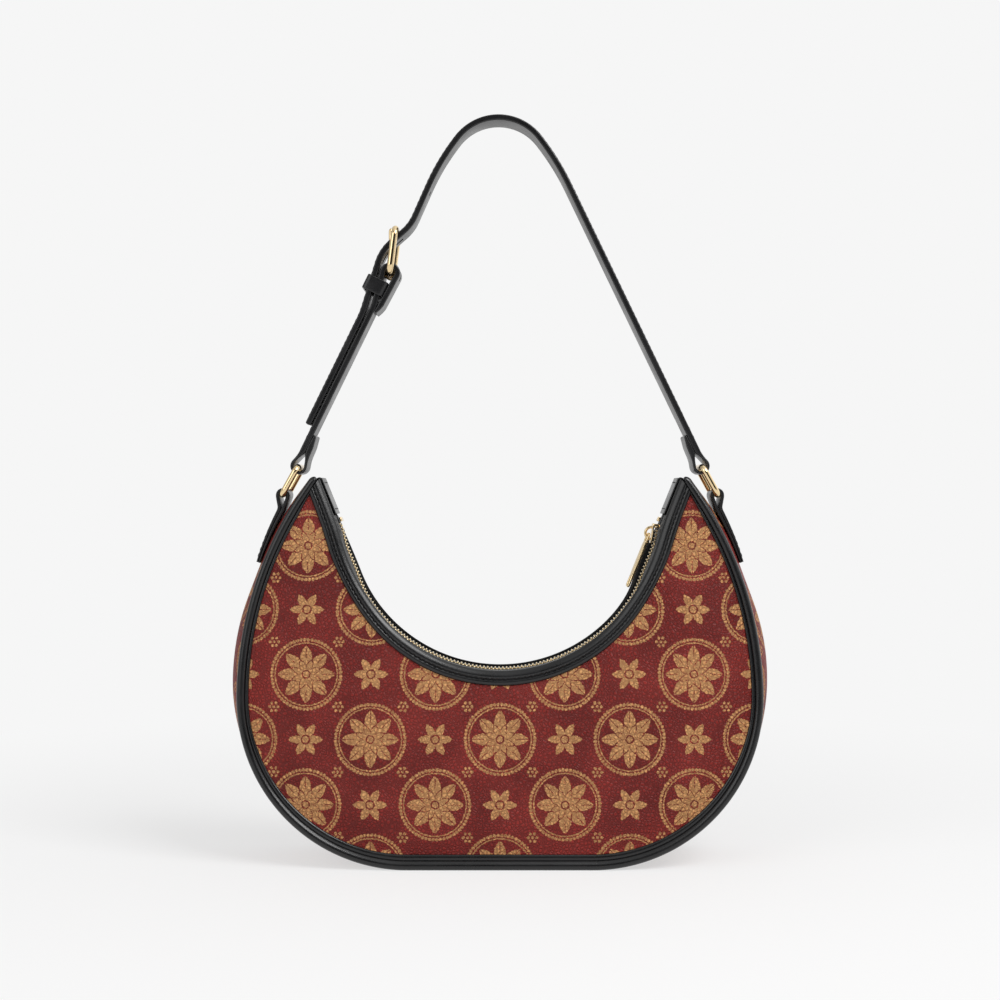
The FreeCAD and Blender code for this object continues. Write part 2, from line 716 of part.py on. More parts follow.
left_bar = (-strap_bar[0], strap_bar[1])
apex = (size.strap_apex_x, strap_bar[1] + size.strap_apex_rise)
right_shoulder_shares = (0.775, 0.0356)  # of the line from ring to apex: along it, and out from it
left_shoulder_shares = (0.409, 0.0547)   # of the line from buckle to apex
right_shoulder = off_line(strap_bar, apex, right_shoulder_shares, -1)
ring_aside = (size.strap_thickness + size.seat_gap) / 2
right_leg = passing(strap_bar, right_shoulder, -ring_aside)
lower_bar = (size.buckle_x, strap_bar[1] + size.buckle_rise)
buckle_lean = math.radians(size.buckle_tilt)
buckle_up = (math.sin(buckle_lean), math.cos(buckle_lean))
upper_bar = shift(lower_bar, size.buckle_length, 0, buckle_up)
left_leg = passing(left_bar, lower_bar, ring_aside)
down_leg = (-left_leg[0], -left_leg[1])
ring_loop = ring_wire_radius + size.strap_slack + half_strap
buckle_loop = buckle_wire_radius + size.buckle_slack + half_strap
seat_shift = size.strap_slack - size.strap_bar_gap
right_loop = shift(strap_bar, seat_shift, 0, right_leg)
left_loop = shift(left_bar, seat_shift, 0, left_leg)
left_run = math.dist(shift(left_loop, 0, ring_aside, left_leg), lower_bar)
bend_share = 1 / 2

right_end = folded_end(right_loop, right_leg, 1, ring_loop, size.strap_end_length,
                       bend_share * size.strap_end_length, size.fold_length, ring_aside)
left_end = folded_end(left_loop, left_leg, -1, ring_loop, size.strap_end_length,
                      bend_share * size.strap_end_length, size.fold_length, ring_aside)
strip_body("strap_end_right", [ribbon(right_end, size.strap_thickness)], "Sizes.strap_width")
strip_body("strap_end_left", [ribbon(left_end, size.strap_thickness)], "Sizes.strap_width")

buckle_end = folded_end(lower_bar, down_leg, 1, buckle_loop, left_run - size.strap_end_length,
                        size.buckle_bend_length, size.buckle_fold_length, 0)
buckle_strap = strip_body("buckle_strap", [ribbon(buckle_end, size.strap_thickness)], "Sizes.strap_width")

loop_reach = buckle_loop + half_strap
cross_room_share, cross_high_share, cross_low_share = 1.5, 1.14, 0.36
cross_room = cross_room_share * size.strap_thickness
tail_across = size.strap_thickness + size.tail_gap
tail_start = size.buckle_bend_length + size.strap_thickness
cross_low_across = loop_reach + size.strap_thickness + size.tail_gap
cross_high = shift(lower_bar, cross_high_share * size.buckle_length,
                   -(buckle_wire_radius + half_strap + cross_room), buckle_up)
cross_low = shift(lower_bar, cross_low_share * size.buckle_length, cross_low_across, left_leg)
tail_knee = shift(lower_bar, -tail_start, tail_across, left_leg)
tail_end = shift(lower_bar, -size.tail_length, tail_across, left_leg)
long_start = shift(right_loop, size.strap_end_length, -ring_aside, right_leg)
left_shoulder = off_line(cross_high, apex, left_shoulder_shares, 1)
crown_run = size.strap_crown_radius * math.tan(turn_at(right_shoulder, apex, left_shoulder) / 2)
shoulder_share = 0.87     # of the run that the crown's curve leaves free, taken up by a shoulder's curve
right_radius, left_radius = (
    shoulder_share * (math.dist(shoulder, apex) - crown_run) / math.tan(turn_at(leg_start, shoulder, apex) / 2)
    for leg_start, shoulder in ((long_start, right_shoulder), (cross_high, left_shoulder)))
long_path = rounded(
    [long_start, right_shoulder, apex, left_shoulder, cross_high, cross_low, tail_knee, tail_end],
    [right_radius, size.strap_crown_radius, left_radius,
     size.buckle_length, size.buckle_length, 2 * size.buckle_length])
main_strap = strip_body("main_strap", [ribbon(long_path, size.strap_thickness)], "Sizes.strap_width")

# Prong: from the lower bar, through the strap, to the outer side of the upper bar
prong_radius = size.prong_wire / 2
prong_bore = buckle_wire_radius + size.prong_clearance
prong_side = buckle_wire_radius + prong_radius + size.prong_clearance
prong_rest = heading(lower_bar, shift(upper_bar, 0, prong_side, buckle_up))
swing = math.radians(size.prong_swing)
prong_swung = (prong_rest[0] * math.cos(swing) - prong_rest[1] * math.sin(swing),
               prong_rest[0] * math.sin(swing) + prong_rest[1] * math.cos(swing))
slot_half = prong_radius + size.prong_slot_play
slot_low_share, slot_high_share = 0.3, 1.0
slot = polygon([shift(lower_bar, slot_low_share * size.buckle_length, -slot_half, prong_rest),
                shift(lower_bar, slot_high_share * size.buckle_length, -slot_half, prong_rest),
                shift(lower_bar, slot_high_share * size.buckle_length, slot_half, prong_swung),
                shift(lower_bar, slot_low_share * size.buckle_length, slot_half, prong_swung)])
slot_width = "Sizes.prong_wire + 2 * Sizes.prong_slot_play"
add_pocket(main_strap, new_sketch(main_strap, "prong_hole", [slot]), slot_width)
loop_slot = polygon([shift(lower_bar, along, across, buckle_up) for along, across in (
    (-buckle_loop, -2 * loop_reach), (2 * loop_reach, -2 * loop_reach),
    (2 * loop_reach, 2 * loop_reach), (-buckle_loop, 2 * loop_reach))])
add_pocket(buckle_strap, new_sketch(buckle_strap, "prong_slot", [loop_slot]), slot_width)

prong_eye = [circle(lower_bar, prong_bore + prong_radius), circle(lower_bar, prong_bore)]
prong = strip_body("buckle_prong", prong_eye, "Sizes.prong_wire")
shank = [line(shift(lower_bar, prong_bore + prong_radius / 2, 0, prong_rest),
              shift(lower_bar, size.buckle_length + size.prong_overhang, 0, prong_rest))]
add_pad(prong, new_sketch(prong, "prong_shank", [ribbon(shank, size.prong_wire)]),
        "Sizes.prong_wire", symmetric=True)

buckle = wire_frame("buckle_frame", size.buckle_length, size.buckle_inner_width, size.buckle_wire,
                    size.buckle_corner_radius)
buckle.Placement = Placement(Vector(lower_bar[0], 0, lower_bar[1]),
                             Rotation(Vector(0, 1, 0), size.buckle_tilt - 90))

# Keeper: a leather loop held in the buckle strap's fold, round that strap and the tail
keeper_top = size.keeper_drop - size.keeper_length / 2
keeper_foot = size.keeper_drop + size.keeper_length / 2
rise_angle = math.asin(buckle_loop / size.buckle_bend_length)
strap_face = ((size.buckle_bend_length - keeper_foot) * math.tan(rise_angle)
              - half_strap / math.cos(rise_angle))
tail_slope = (cross_low_across - tail_across) / (tail_start + cross_low_share * size.buckle_length)
tail_face = (tail_across + (tail_start - keeper_top) * tail_slope
             + half_strap / math.cos(math.atan(tail_slope)))
cavity_low = strap_face - size.keeper_clearance
cavity_high = tail_face + size.keeper_clearance
cavity_half = size.strap_width / 2 + size.keeper_clearance
keeper = new_body("strap_keeper")
cavity = box_outline((-cavity_half, cavity_low), (cavity_half, cavity_high))
outside = box_outline((-cavity_half - size.keeper_wall, cavity_low - size.keeper_wall),
                      (cavity_half + size.keeper_wall, cavity_high + size.keeper_wall))
add_pad(keeper, new_sketch(keeper, "keeper_section", [outside, cavity], role="YZ_Plane"),
        "Sizes.keeper_length", symmetric=True)
keeper_middle = shift(lower_bar, -size.keeper_drop, 0, left_leg)
keeper.Placement = Placement(Vector(keeper_middle[0], 0, keeper_middle[1]),
                             Rotation(Vector(0, 1, 0), -math.degrees(math.atan2(left_leg[1], left_leg[0]))))

# Spare holes, on the straight run of the tail and on the leg above the buckle
upper_leg = heading(cross_high, left_shoulder)
spare_holes = ([(shift(lower_bar, -tail_start - count * size.hole_pitch, tail_across, left_leg), left_leg)
                for count in (1, 2)]
               + [(shift(cross_high, size.hole_pitch, 0, upper_leg), upper_leg)])
for count, (place, along) in enumerate(spare_holes):
    drill = main_strap.newObject("PartDesign::SubtractiveCylinder", f"spare_hole_{count}")
    drill.setExpression("Radius", "Sizes.hole_diameter / 2")
    drill.setExpression("Height", "3 * Sizes.strap_thickness")
    start = shift(place, 0, -3 * half_strap, along)
    across = Vector(-along[1], 0, along[0])
    drill.Placement = Placement(Vector(start[0], 0, start[1]), Rotation(Vector(0, 0, 1), across))
    doc.recompute()
    main_strap.Tip = drill

doc.recompute()
for thing in doc.Objects:
    if {"Invalid", "Error"} & set(thing.State):
        raise RuntimeError(f"{thing.Name} failed: {thing.State}")
for label, thing in built.items():
    if thing.Shape.isNull() or not thing.Shape.isValid():
        raise RuntimeError(f"{label} has no valid shape")

os.makedirs("parts", exist_ok=True)
for label, thing in built.items():
    thing.Shape.exportStep(f"parts/{label}.step")
    box = thing.Shape.BoundBox
    print(f"{label}: {len(thing.Shape.Solids)} solids, {thing.Shape.Volume:.0f} mm3, "
          f"x {box.XMin:.1f} to {box.XMax:.1f}, y {box.YMin:.1f} to {box.YMax:.1f}, "
          f"z {box.ZMin:.1f} to {box.ZMax:.1f}")
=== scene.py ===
import math

import bmesh
import bpy
import numpy as np
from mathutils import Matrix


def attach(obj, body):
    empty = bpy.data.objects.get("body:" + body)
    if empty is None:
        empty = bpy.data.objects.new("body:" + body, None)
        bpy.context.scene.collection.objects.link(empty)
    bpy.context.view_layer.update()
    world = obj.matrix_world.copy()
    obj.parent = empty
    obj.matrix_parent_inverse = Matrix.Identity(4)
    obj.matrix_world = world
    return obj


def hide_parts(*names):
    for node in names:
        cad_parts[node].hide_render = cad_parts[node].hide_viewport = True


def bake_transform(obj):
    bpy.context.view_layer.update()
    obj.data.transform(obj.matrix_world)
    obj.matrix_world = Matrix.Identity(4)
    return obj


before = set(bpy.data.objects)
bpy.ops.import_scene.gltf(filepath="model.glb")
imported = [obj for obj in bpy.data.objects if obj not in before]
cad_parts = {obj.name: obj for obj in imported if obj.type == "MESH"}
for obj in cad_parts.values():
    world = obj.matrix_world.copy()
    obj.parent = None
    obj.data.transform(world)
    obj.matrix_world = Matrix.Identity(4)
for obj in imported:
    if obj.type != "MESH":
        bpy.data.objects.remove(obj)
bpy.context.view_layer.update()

# Everything below is in millimetres and turned into metres when a mesh is made.
MM = 0.001

# Sizes of the bag, as the solids have them
BASE_HALF_LENGTH, CORNER_RADIUS, SIDE_RADIUS, TIP_HEIGHT = 47.0, 88.0, 190.0, 200.0
BASE_HALF_DEPTH, TIP_HALF_DEPTH = 30.0, 12.5
GUSSET_CORNER, GUSSET_SIDE = 93.0, 160.0
LEAN = math.atan((BASE_HALF_DEPTH - TIP_HALF_DEPTH) / TIP_HEIGHT)
FLARE = math.radians(22)
MOUTH = ((0.0, 180.3), 79.5, math.radians(68))
ZIP = ((0.0, 182.5), 83.3, math.radians(82.5))
PIPING_INSET = 4.9
BAND_INSET = PIPING_INSET - 0.9       # where bands and facings end at the tips
LEATHER, CLOTH = 1.6, 0.6
STRAP_WIDTH, STRAP_THICKNESS = 18.0, 3.0
FACES, SIDES = ((-1, "front"), (1, "back")), ((-1, "left"), (1, "right"))
ACROSS = np.array([0, 1.0, 0])


# Plane paths: lines and arcs in the XZ plane, from left to right
def polar(centre, radius, angle):
    return (centre[0] + radius * math.cos(angle), centre[1] + radius * math.sin(angle))


def shift(point, along, across, direction):
    """Point moved along a unit direction, and across it to the left."""
    return (point[0] + along * direction[0] - across * direction[1],
            point[1] + along * direction[1] + across * direction[0])


def heading(start, end):
    length = math.dist(start, end)
    return ((end[0] - start[0]) / length, (end[1] - start[1]) / length)


def line(start, end):
    return ("line", start, end)


def arc(centre, radius, begin, end):
    return ("arc", centre, radius, begin, end)


def mirrored(pieces):
    """The right half of a path walked on the left, from its far end inwards."""
    turned = []
    for piece in reversed(pieces):
        if piece[0] == "line":
            turned.append(line((-piece[2][0], piece[2][1]), (-piece[1][0], piece[1][1])))
        else:
            centre, radius, begin, end = piece[1:]
            turned.append(arc((-centre[0], centre[1]), radius, math.pi - end, math.pi - begin))
    return turned


def rounded(points, radii):
    """Straight runs through corner points with a tangent arc at each inner one."""
    pieces, start = [], points[0]
    for before, corner, after, radius in zip(points, points[1:], points[2:], radii):
        into, out = heading(before, corner), heading(corner, after)
        turn = math.atan2(into[0] * out[1] - into[1] * out[0], into[0] * out[0] + into[1] * out[1])
        entry = shift(corner, -radius * math.tan(abs(turn) / 2), 0, into)
        centre = shift(entry, 0, math.copysign(radius, turn), into)
        begin = math.atan2(entry[1] - centre[1], entry[0] - centre[0])
        pieces += [line(start, entry), arc(centre, radius, begin, begin + turn)]
        start = polar(centre, radius, begin + turn)
    return pieces + [line(start, points[-1])]


def sampled(pieces, step):
    """Points and unit tangents along a path, evenly spaced within each piece: two (n, 2) arrays."""
    points, tangents = [], []
    for piece in pieces:
        if piece[0] == "line":
            start, end = np.array(piece[1], float), np.array(piece[2], float)
            count = max(2, math.ceil(math.dist(start, end) / step) + 1)
            share = np.linspace(0, 1, count)[:, None]
            points.append(start + share * (end - start))
            tangents.append(np.repeat([(end - start) / np.linalg.norm(end - start)], count, axis=0))
        else:
            centre, radius, begin, end = piece[1:]
            count = max(5, math.ceil(abs(end - begin) * radius / step) + 1)
            angle = np.linspace(begin, end, count)
            points.append(np.array(centre) + radius * np.stack([np.cos(angle), np.sin(angle)], 1))
            tangents.append(math.copysign(1, end - begin) * np.stack([-np.sin(angle), np.cos(angle)], 1))
    points, tangents = np.concatenate(points), np.concatenate(tangents)
    keep = np.append(True, np.linalg.norm(np.diff(points, axis=0), axis=1) > 1e-6)
    return points[keep], tangents[keep]


def travelled(points):
    """Distance along a row of points, from the first one."""
    return np.append(0, np.cumsum(np.linalg.norm(np.diff(points, axis=0), axis=1)))


def looked_up(wanted, along, rows):
    """Rows given at distances along a path, read between them at the wanted distances."""
    return np.stack([np.interp(wanted, along, rows[:, k]) for k in range(rows.shape[1])], 1)


def respaced(points, count):
    """A row of points laid again at even distances along itself."""
    along = travelled(points)
    return looked_up(np.linspace(0, along[-1], count), along, points)


def unit(vectors):
    return vectors / np.linalg.norm(vectors, axis=-1, keepdims=True)


def left_of(tangents):
    return np.stack([-tangents[:, 1], tangents[:, 0]], 1)


def normals(points):
    """Unit normals of a row of points in the plane, to its left."""
    return left_of(unit(np.gradient(points, axis=0)))


def at_y(plane, y):
    """Points of the XZ plane set at a Y."""
    return np.stack(np.broadcast_arrays(plane[..., 0], y, plane[..., 1]), -1)


def rectangle(near, far, low, high, corner, step, count):
    """Closed rectangle with round corners as a row of points, from the middle of its low side."""
    middle = ((near + far) / 2, low)
    corners = [(far, low), (far, high), (near, high), (near, low)]
    return respaced(sampled(rounded([middle] + corners + [middle], [corner] * 4), step)[0], count + 1)[:-1]


def shell_path(corner, side, inset, top):
    """Outline of the bag from the left tip round the base to the right tip, an inset inside it."""
    rise = math.asin((top - corner) / (side - inset))
    right = [arc((BASE_HALF_LENGTH, corner), corner - inset, -math.pi / 2, 0),
             arc((BASE_HALF_LENGTH + corner - side, corner), side - inset, 0, rise)]
    return mirrored(right) + [line((-BASE_HALF_LENGTH, inset), (BASE_HALF_LENGTH, inset))] + right


def flare_line(track, depth):
    """Start and direction of the straight run above a track's arc, a depth below it."""
    centre, radius, arc_end = track
    upward = (math.sin(FLARE), math.cos(FLARE))
    return shift(polar(centre, radius, arc_end - math.pi / 2), 0, -depth, upward), upward


def to_circle(start, direction, centre, radius):
    """Point ahead on a line where it leaves a circle."""
    offset = (start[0] - centre[0], start[1] - centre[1])
    half = offset[0] * direction[0] + offset[1] * direction[1]
    rest = offset[0] ** 2 + offset[1] ** 2 - radius ** 2
    return shift(start, -half + math.sqrt(max(0, half ** 2 - rest)), 0, direction)


def tip_point(track, inset, depth):
    """Right tip, where a mouth edge meets the outline's inset."""
    start, upward = flare_line(track, depth)
    centre = (BASE_HALF_LENGTH + CORNER_RADIUS - SIDE_RADIUS, CORNER_RADIUS)
    return to_circle(start, upward, centre, SIDE_RADIUS - inset)


def mouth_path(track, depth, top):
    """From the left tip along a track to the right tip, a depth below it."""
    centre, radius = track[:2]
    start, upward = flare_line(track, depth)
    knee = to_circle(start, upward, centre, radius + depth)
    turn = math.atan2(knee[1] - centre[1], knee[0])
    right = line(knee, top)
    return mirrored([right]) + [arc(centre, radius + depth, math.pi - turn, 2 * math.pi + turn), right]


def on_face(side, x, height, out):
    """Points on the front (-1) or back (1) face, which leans in by LEAN: height up the face, out away from it."""
    x, height, out = np.broadcast_arrays(x, height, out)
    return np.stack([x, side * (BASE_HALF_DEPTH - height * math.sin(LEAN) + out * math.cos(LEAN)),
                     height * math.cos(LEAN) + out * math.sin(LEAN)], -1)


# Meshes
def surface(grid, ring=False):
    """Points and four-cornered faces of a grid that is closed round its columns, and for a ring along its rows too."""
    rows, columns = grid.shape[:2]
    i, j = np.arange(rows if ring else rows - 1)[:, None], np.arange(columns)[None, :]
    i2, j2 = (i + 1) % rows, (j + 1) % columns
    faces = np.stack([i * columns + j, i2 * columns + j, i2 * columns + j2, i * columns + j2], -1)
    return grid.reshape(-1, 3), faces.reshape(-1, 4)


def wall(front, back):
    """Closed skin of two grids with the same corners: one wrapped grid, out and back, its end rows drawn together."""
    skin = np.concatenate([front, back[:, ::-1]], axis=1)
    first, last = ((row + row[:, ::-1]) / 2 for row in (skin[:1], skin[-1:]))
    return np.concatenate([first, skin, last])


def capped(grid):
    """Tube grid (along, round) with each end drawn together to its middle."""
    first, last = grid[:1].mean(1, keepdims=True), grid[-1:].mean(1, keepdims=True)
    return np.concatenate([np.repeat(first, grid.shape[1], 1), grid, np.repeat(last, grid.shape[1], 1)])


def copies(shape, faces, places, along, across, up):
    """One shape in its own axes set down at many places: the points and faces of them all."""
    points = (places[:, None] + shape[None, :, :1] * along[:, None] + shape[None, :, 1:2] * across[:, None]
              + shape[None, :, 2:] * up[:, None])
    many = faces[None] + np.arange(len(places))[:, None, None] * len(shape)
    return points.reshape(-1, 3), many.reshape(-1, 4)


def piece(name, parts, material, body, slot, *nodes, uv=None, merge=True, smooth=60):
    """Object from a list of (points in mm, faces), riding on a body in place of its nodes.

    Where parts are merged, their seams and poles are closed and their faces turned outwards.
    """
    starts = np.cumsum([0] + [len(part[0]) for part in parts])
    points = np.concatenate([part[0] for part in parts])
    faces = np.concatenate([part[1] + start for part, start in zip(parts, starts)])
    mesh = bpy.data.meshes.new(name)
    mesh.from_pydata(points * MM, [], faces)
    if uv is not None:
        corner = np.empty(len(mesh.loops), np.int32)
        mesh.loops.foreach_get("vertex_index", corner)
        mesh.uv_layers.new(name="print").data.foreach_set("uv", uv.reshape(-1, 2)[corner].ravel().astype(np.float32))
    if merge:
        work = bmesh.new()
        work.from_mesh(mesh)
        bmesh.ops.remove_doubles(work, verts=work.verts, dist=2e-6)
        bmesh.ops.dissolve_degenerate(work, edges=work.edges, dist=1e-7)
        bmesh.ops.recalc_face_normals(work, faces=work.faces)
        work.to_mesh(mesh)
        work.free()
    mesh.materials.append(material)
    mesh.shade_smooth()
    mesh.set_sharp_from_angle(angle=math.radians(smooth))
    made = bpy.data.objects.new(name, mesh)
    bpy.context.scene.collection.objects.link(made)
    if body:
        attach(made, body)
    if nodes:
        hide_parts(*nodes)
    return made


def beads(places, along, up, half_sizes, rings=4, sides=6):
    """Small round-ended beads, such as stitches: an ellipsoid at each place, long the way it runs."""
    turn = np.linspace(0, math.pi, rings + 1)[:, None]
    round_ = np.linspace(0, 2 * math.pi, sides, endpoint=False)[None, :]
    shape = np.stack(np.broadcast_arrays(-np.cos(turn) * half_sizes[0], np.sin(turn) * np.cos(round_) * half_sizes[1],
                                         np.sin(turn) * np.sin(round_) * half_sizes[2]), -1)
    return copies(*surface(shape), places, along, np.cross(up, along), up)


def tube(path, radius, closed=False, sides=16, round_scale=(1, 1), up=(0, 1, 0)):
    """Round wire along a row of 3-D points: circles square to the path, one axis kept near a fixed direction."""
    before, after = np.roll(path, 1, 0), np.roll(path, -1, 0)
    ahead = after - before
    if not closed:
        ahead[0], ahead[-1] = path[1] - path[0], path[-1] - path[-2]
    ahead = unit(ahead)
    first = unit(np.cross(ahead, np.array(up, float)))
    second = np.cross(first, ahead)
    angle = np.linspace(0, 2 * math.pi, sides, endpoint=False)
    radius = np.broadcast_to(np.asarray(radius, float), len(path))[:, None, None]
    grid = path[:, None] + radius * (round_scale[0] * np.cos(angle)[None, :, None] * first[:, None]
                                     + round_scale[1] * np.sin(angle)[None, :, None] * second[:, None])
    return grid if closed else capped(grid)


# Materials
def linear(hex_colour):
    """sRGB hex value as linear red, green, blue and full alpha."""
    value = np.array([int(hex_colour[k:k + 2], 16) for k in (1, 3, 5)]) / 255
    return (*np.where(value <= 0.04045, value / 12.92, ((value + 0.055) / 1.055) ** 2.4).tolist(), 1.0)


def add(tree, kind, *inputs, sockets=None, **settings):
    """One node: its settings, its first sockets in order, and others by name or number. None leaves a socket."""
    node = tree.nodes.new("ShaderNode" + kind)
    for name, value in settings.items():
        setattr(node, name, value)
    for key, value in list(enumerate(inputs)) + list((sockets or {}).items()):
        value = value.outputs[0] if isinstance(value, bpy.types.Node) else value
        if isinstance(value, bpy.types.NodeSocket):
            tree.links.new(value, node.inputs[key])
        elif value is not None:
            node.inputs[key].default_value = value
    return node


def new_material(name):
    """Empty material, its node tree, and the object coordinates in it."""
    material = bpy.data.materials.new(name)
    material.use_nodes = True
    tree = material.node_tree
    tree.nodes.clear()
    return material, tree, add(tree, "TexCoord").outputs["Object"]


PRINT_REPEAT = 66.0       # mm between roundels of one row
ROUNDEL = 17.6            # mm, middle of the ring of beads


def coated_canvas():
    """Pebbled coated canvas, screen printed: oxblood ground with a worn tan-gold ornament of beaded roundels.

    Embossed pebbles of about 1.7 mm break the highlight up, with painted shade in the crevices between them, and the
    print is a little duller than the ground, which carries soft patches of painted sheen.
    """
    material, tree, coords = new_material("pebbled_coated_canvas")
    half = PRINT_REPEAT / 2
    uv = add(tree, "UVMap", uv_map="print")
    flat = add(tree, "VectorMath", uv, sockets={"Scale": 100.0}, operation="SCALE")
    ragged = add(tree, "TexNoise", flat, sockets={"Scale": 0.9, "Detail": 2.0}, noise_dimensions="2D")
    shaky = add(tree, "VectorMath", ragged.outputs["Color"], (0.5, 0.5, 0.5), operation="SUBTRACT")
    shake = add(tree, "VectorMath", shaky, sockets={"Scale": 1.1}, operation="SCALE")
    place = add(tree, "VectorMath", flat, shake, operation="ADD")

    def nearest(first, second, repeat):
        """Distance in mm from the nearer of two grids of centres, and the angle round it."""
        offsets = []
        for start in (first, second):
            moved = add(tree, "VectorMath", place, (-start[0], -start[1], 0), operation="ADD")
            offsets.append(add(tree, "VectorMath", moved, (repeat / 2,) * 3, (-repeat / 2,) * 3, operation="WRAP"))
        lengths = [add(tree, "VectorMath", offset, operation="LENGTH").outputs["Value"] for offset in offsets]
        nearer = add(tree, "Math", lengths[1], lengths[0], operation="LESS_THAN")
        chosen = add(tree, "Mix", nearer, sockets={4: offsets[0], 5: offsets[1]}, data_type="VECTOR").outputs[1]
        flatter = add(tree, "VectorMath", chosen, (1, 1, 0), operation="MULTIPLY")
        radius = add(tree, "VectorMath", flatter, operation="LENGTH").outputs["Value"]
        parts = add(tree, "SeparateXYZ", flatter)
        angle = add(tree, "Math", parts.outputs["Y"], parts.outputs["X"], operation="ARCTAN2")
        return radius, angle

    def petal_share(angle, count):
        """0 on the axis of a petal to 1 half way to the next one."""
        turns = add(tree, "Math", angle, count / (2 * math.pi), 0.5, operation="MULTIPLY_ADD")
        saw = add(tree, "Math", turns, operation="FRACT")
        centred = add(tree, "Math", saw, 0.5, operation="SUBTRACT")
        return add(tree, "Math", add(tree, "Math", centred, operation="ABSOLUTE"), 2.0, operation="MULTIPLY")

    def inside(value, edge, soft=0.22):
        """1 where a distance in mm is under an edge, 0 past it."""
        over = add(tree, "Math", value, edge, operation="SUBTRACT")
        return add(tree, "MapRange", over, -soft, soft, 1.0, 0.0, interpolation_type="SMOOTHSTEP")

    def petal_edge(share, low, reach, power):
        """Radius of a pointed petal: low between petals, low + reach on the axis."""
        room = add(tree, "Math", 1.0, share, operation="SUBTRACT")
        bent = add(tree, "Math", room, power, operation="POWER")
        return add(tree, "Math", bent, reach, low, operation="MULTIPLY_ADD")

    def near(value, centre, width):
        """1 in a line of a width round a value."""
        off = add(tree, "Math", add(tree, "Math", value, centre, operation="SUBTRACT"), operation="ABSOLUTE")
        return inside(off, width / 2)

    # roundels: a ring of beads, a thin ring, and an eight-petalled rosette with a smaller one on it
    radius, angle = nearest((0, 0), (half, half), PRINT_REPEAT)
    beads_round = 60
    saw = add(tree, "Math", add(tree, "Math", angle, beads_round / (2 * math.pi), operation="MULTIPLY"),
              operation="FRACT")
    along = add(tree, "Math", saw, 2 * math.pi * ROUNDEL / beads_round, -math.pi * ROUNDEL / beads_round,
                operation="MULTIPLY_ADD")
    off_ring = add(tree, "Math", radius, ROUNDEL, operation="SUBTRACT")
    off_bead = add(tree, "VectorMath", add(tree, "CombineXYZ", along, off_ring), operation="LENGTH")
    bead, thin_ring = inside(off_bead.outputs["Value"], 0.85), near(radius, ROUNDEL - 1.7, 0.6)
    ink = add(tree, "Math", bead, thin_ring, operation="MAXIMUM")
    share = petal_share(angle, 8)
    outer = inside(radius, petal_edge(share, 6.8, 7.9, 0.65))
    vein = near(add(tree, "Math", share, radius, operation="MULTIPLY"), 0.0, 0.9)
    vein = add(tree, "Math", vein, inside(radius, 8.2), operation="SUBTRACT", use_clamp=True)
    between = add(tree, "Math", 1.0, share, operation="SUBTRACT")
    inner_edge = petal_edge(between, 3.0, 5.0, 0.7)
    outline = near(add(tree, "Math", radius, inner_edge, operation="SUBTRACT"), 0.0, 0.75)
    bare = add(tree, "Math", add(tree, "Math", vein, outline, operation="MAXIMUM"), near(radius, 1.9, 0.7),
               operation="MAXIMUM")
    rosette = add(tree, "Math", outer, bare, operation="SUBTRACT", use_clamp=True)
    ink = add(tree, "Math", ink, rosette, operation="MAXIMUM")
    # six-petalled florets between the roundels
    radius, angle = nearest((half, 0), (0, half), PRINT_REPEAT)
    floret = inside(radius, petal_edge(petal_share(angle, 6), 3.2, 5.6, 0.75))
    floret = add(tree, "Math", floret, near(radius, 2.1, 0.7), operation="SUBTRACT", use_clamp=True)
    ink = add(tree, "Math", ink, floret, operation="MAXIMUM")
    # rings of six dots between neighbouring roundels
    radius, angle = nearest((half / 2, half / 2), (half / 2, half / 2), half)
    aside = add(tree, "Math", add(tree, "Math", petal_share(angle, 6), radius, operation="MULTIPLY"), 0.52,
                operation="MULTIPLY")
    beyond = add(tree, "Math", radius, 2.2, operation="SUBTRACT")
    away = add(tree, "VectorMath", add(tree, "CombineXYZ", aside, beyond), operation="LENGTH")
    dots = inside(away.outputs["Value"], 0.75)
    dots = add(tree, "Math", dots, inside(radius, 0.7), operation="MAXIMUM")
    ink = add(tree, "Math", ink, dots, operation="MAXIMUM")

    pebbles = add(tree, "TexVoronoi", coords, sockets={"Scale": 1 / (1.7 * MM), "Randomness": 1.0},
                  feature="DISTANCE_TO_EDGE")
    domes = add(tree, "MapRange", pebbles, 0.0, 0.32, 0.0, 1.0, interpolation_type="SMOOTHSTEP")
    fine, cloud, mottle = (add(tree, "TexNoise", coords, sockets={"Scale": 1 / (size * MM), "Detail": detail})
                           for size, detail in ((0.5, 3.0), (28, 3.0), (1.6, 2.0)))
    worn = add(tree, "MapRange", mottle, 0.32, 0.62, 0.72, 1.0)
    ink = add(tree, "Math", ink, worn, operation="MULTIPLY")
    # painted sheen: soft lighter patches, some 28 mm across, in the ground's colour
    painted_sheen_patches = add(tree, "MapRange", cloud, 0.36, 0.64, 0.0, 1.0)
    ground, tan = (
        add(tree, "Mix", share, sockets={6: linear(low), 7: linear(high)}, data_type="RGBA").outputs[2]
        for share, low, high in ((painted_sheen_patches, "#70160f", "#89261f"), (mottle, "#bd8550", "#d8a36c")))
    colour = add(tree, "Mix", ink, sockets={6: ground, 7: tan}, data_type="RGBA").outputs[2]
    # painted shade: the crevices at the pebbles' edges are darkened to 0.58 of the colour
    painted_crevice_shade = add(tree, "MapRange", domes, 0.0, 1.0, 0.58, 1.0)
    colour = add(tree, "Mix", 1.0, sockets={6: colour, 7: painted_crevice_shade.outputs[0]}, data_type="RGBA",
                 blend_type="MULTIPLY").outputs[2]
    rough = add(tree, "MapRange", ink, 0.0, 1.0, 0.5, 0.58)
    height = add(tree, "Math", fine, 0.25, domes, operation="MULTIPLY_ADD")
    bump = add(tree, "Bump", sockets={"Strength": 1.0, "Distance": 0.3 * MM, "Height": height})
    add(tree, "OutputMaterial", add(tree, "BsdfPrincipled", sockets={
        "Base Color": colour, "Roughness": rough, "Normal": bump, "IOR": 1.45, "Specular IOR Level": 0.34}))
    return material


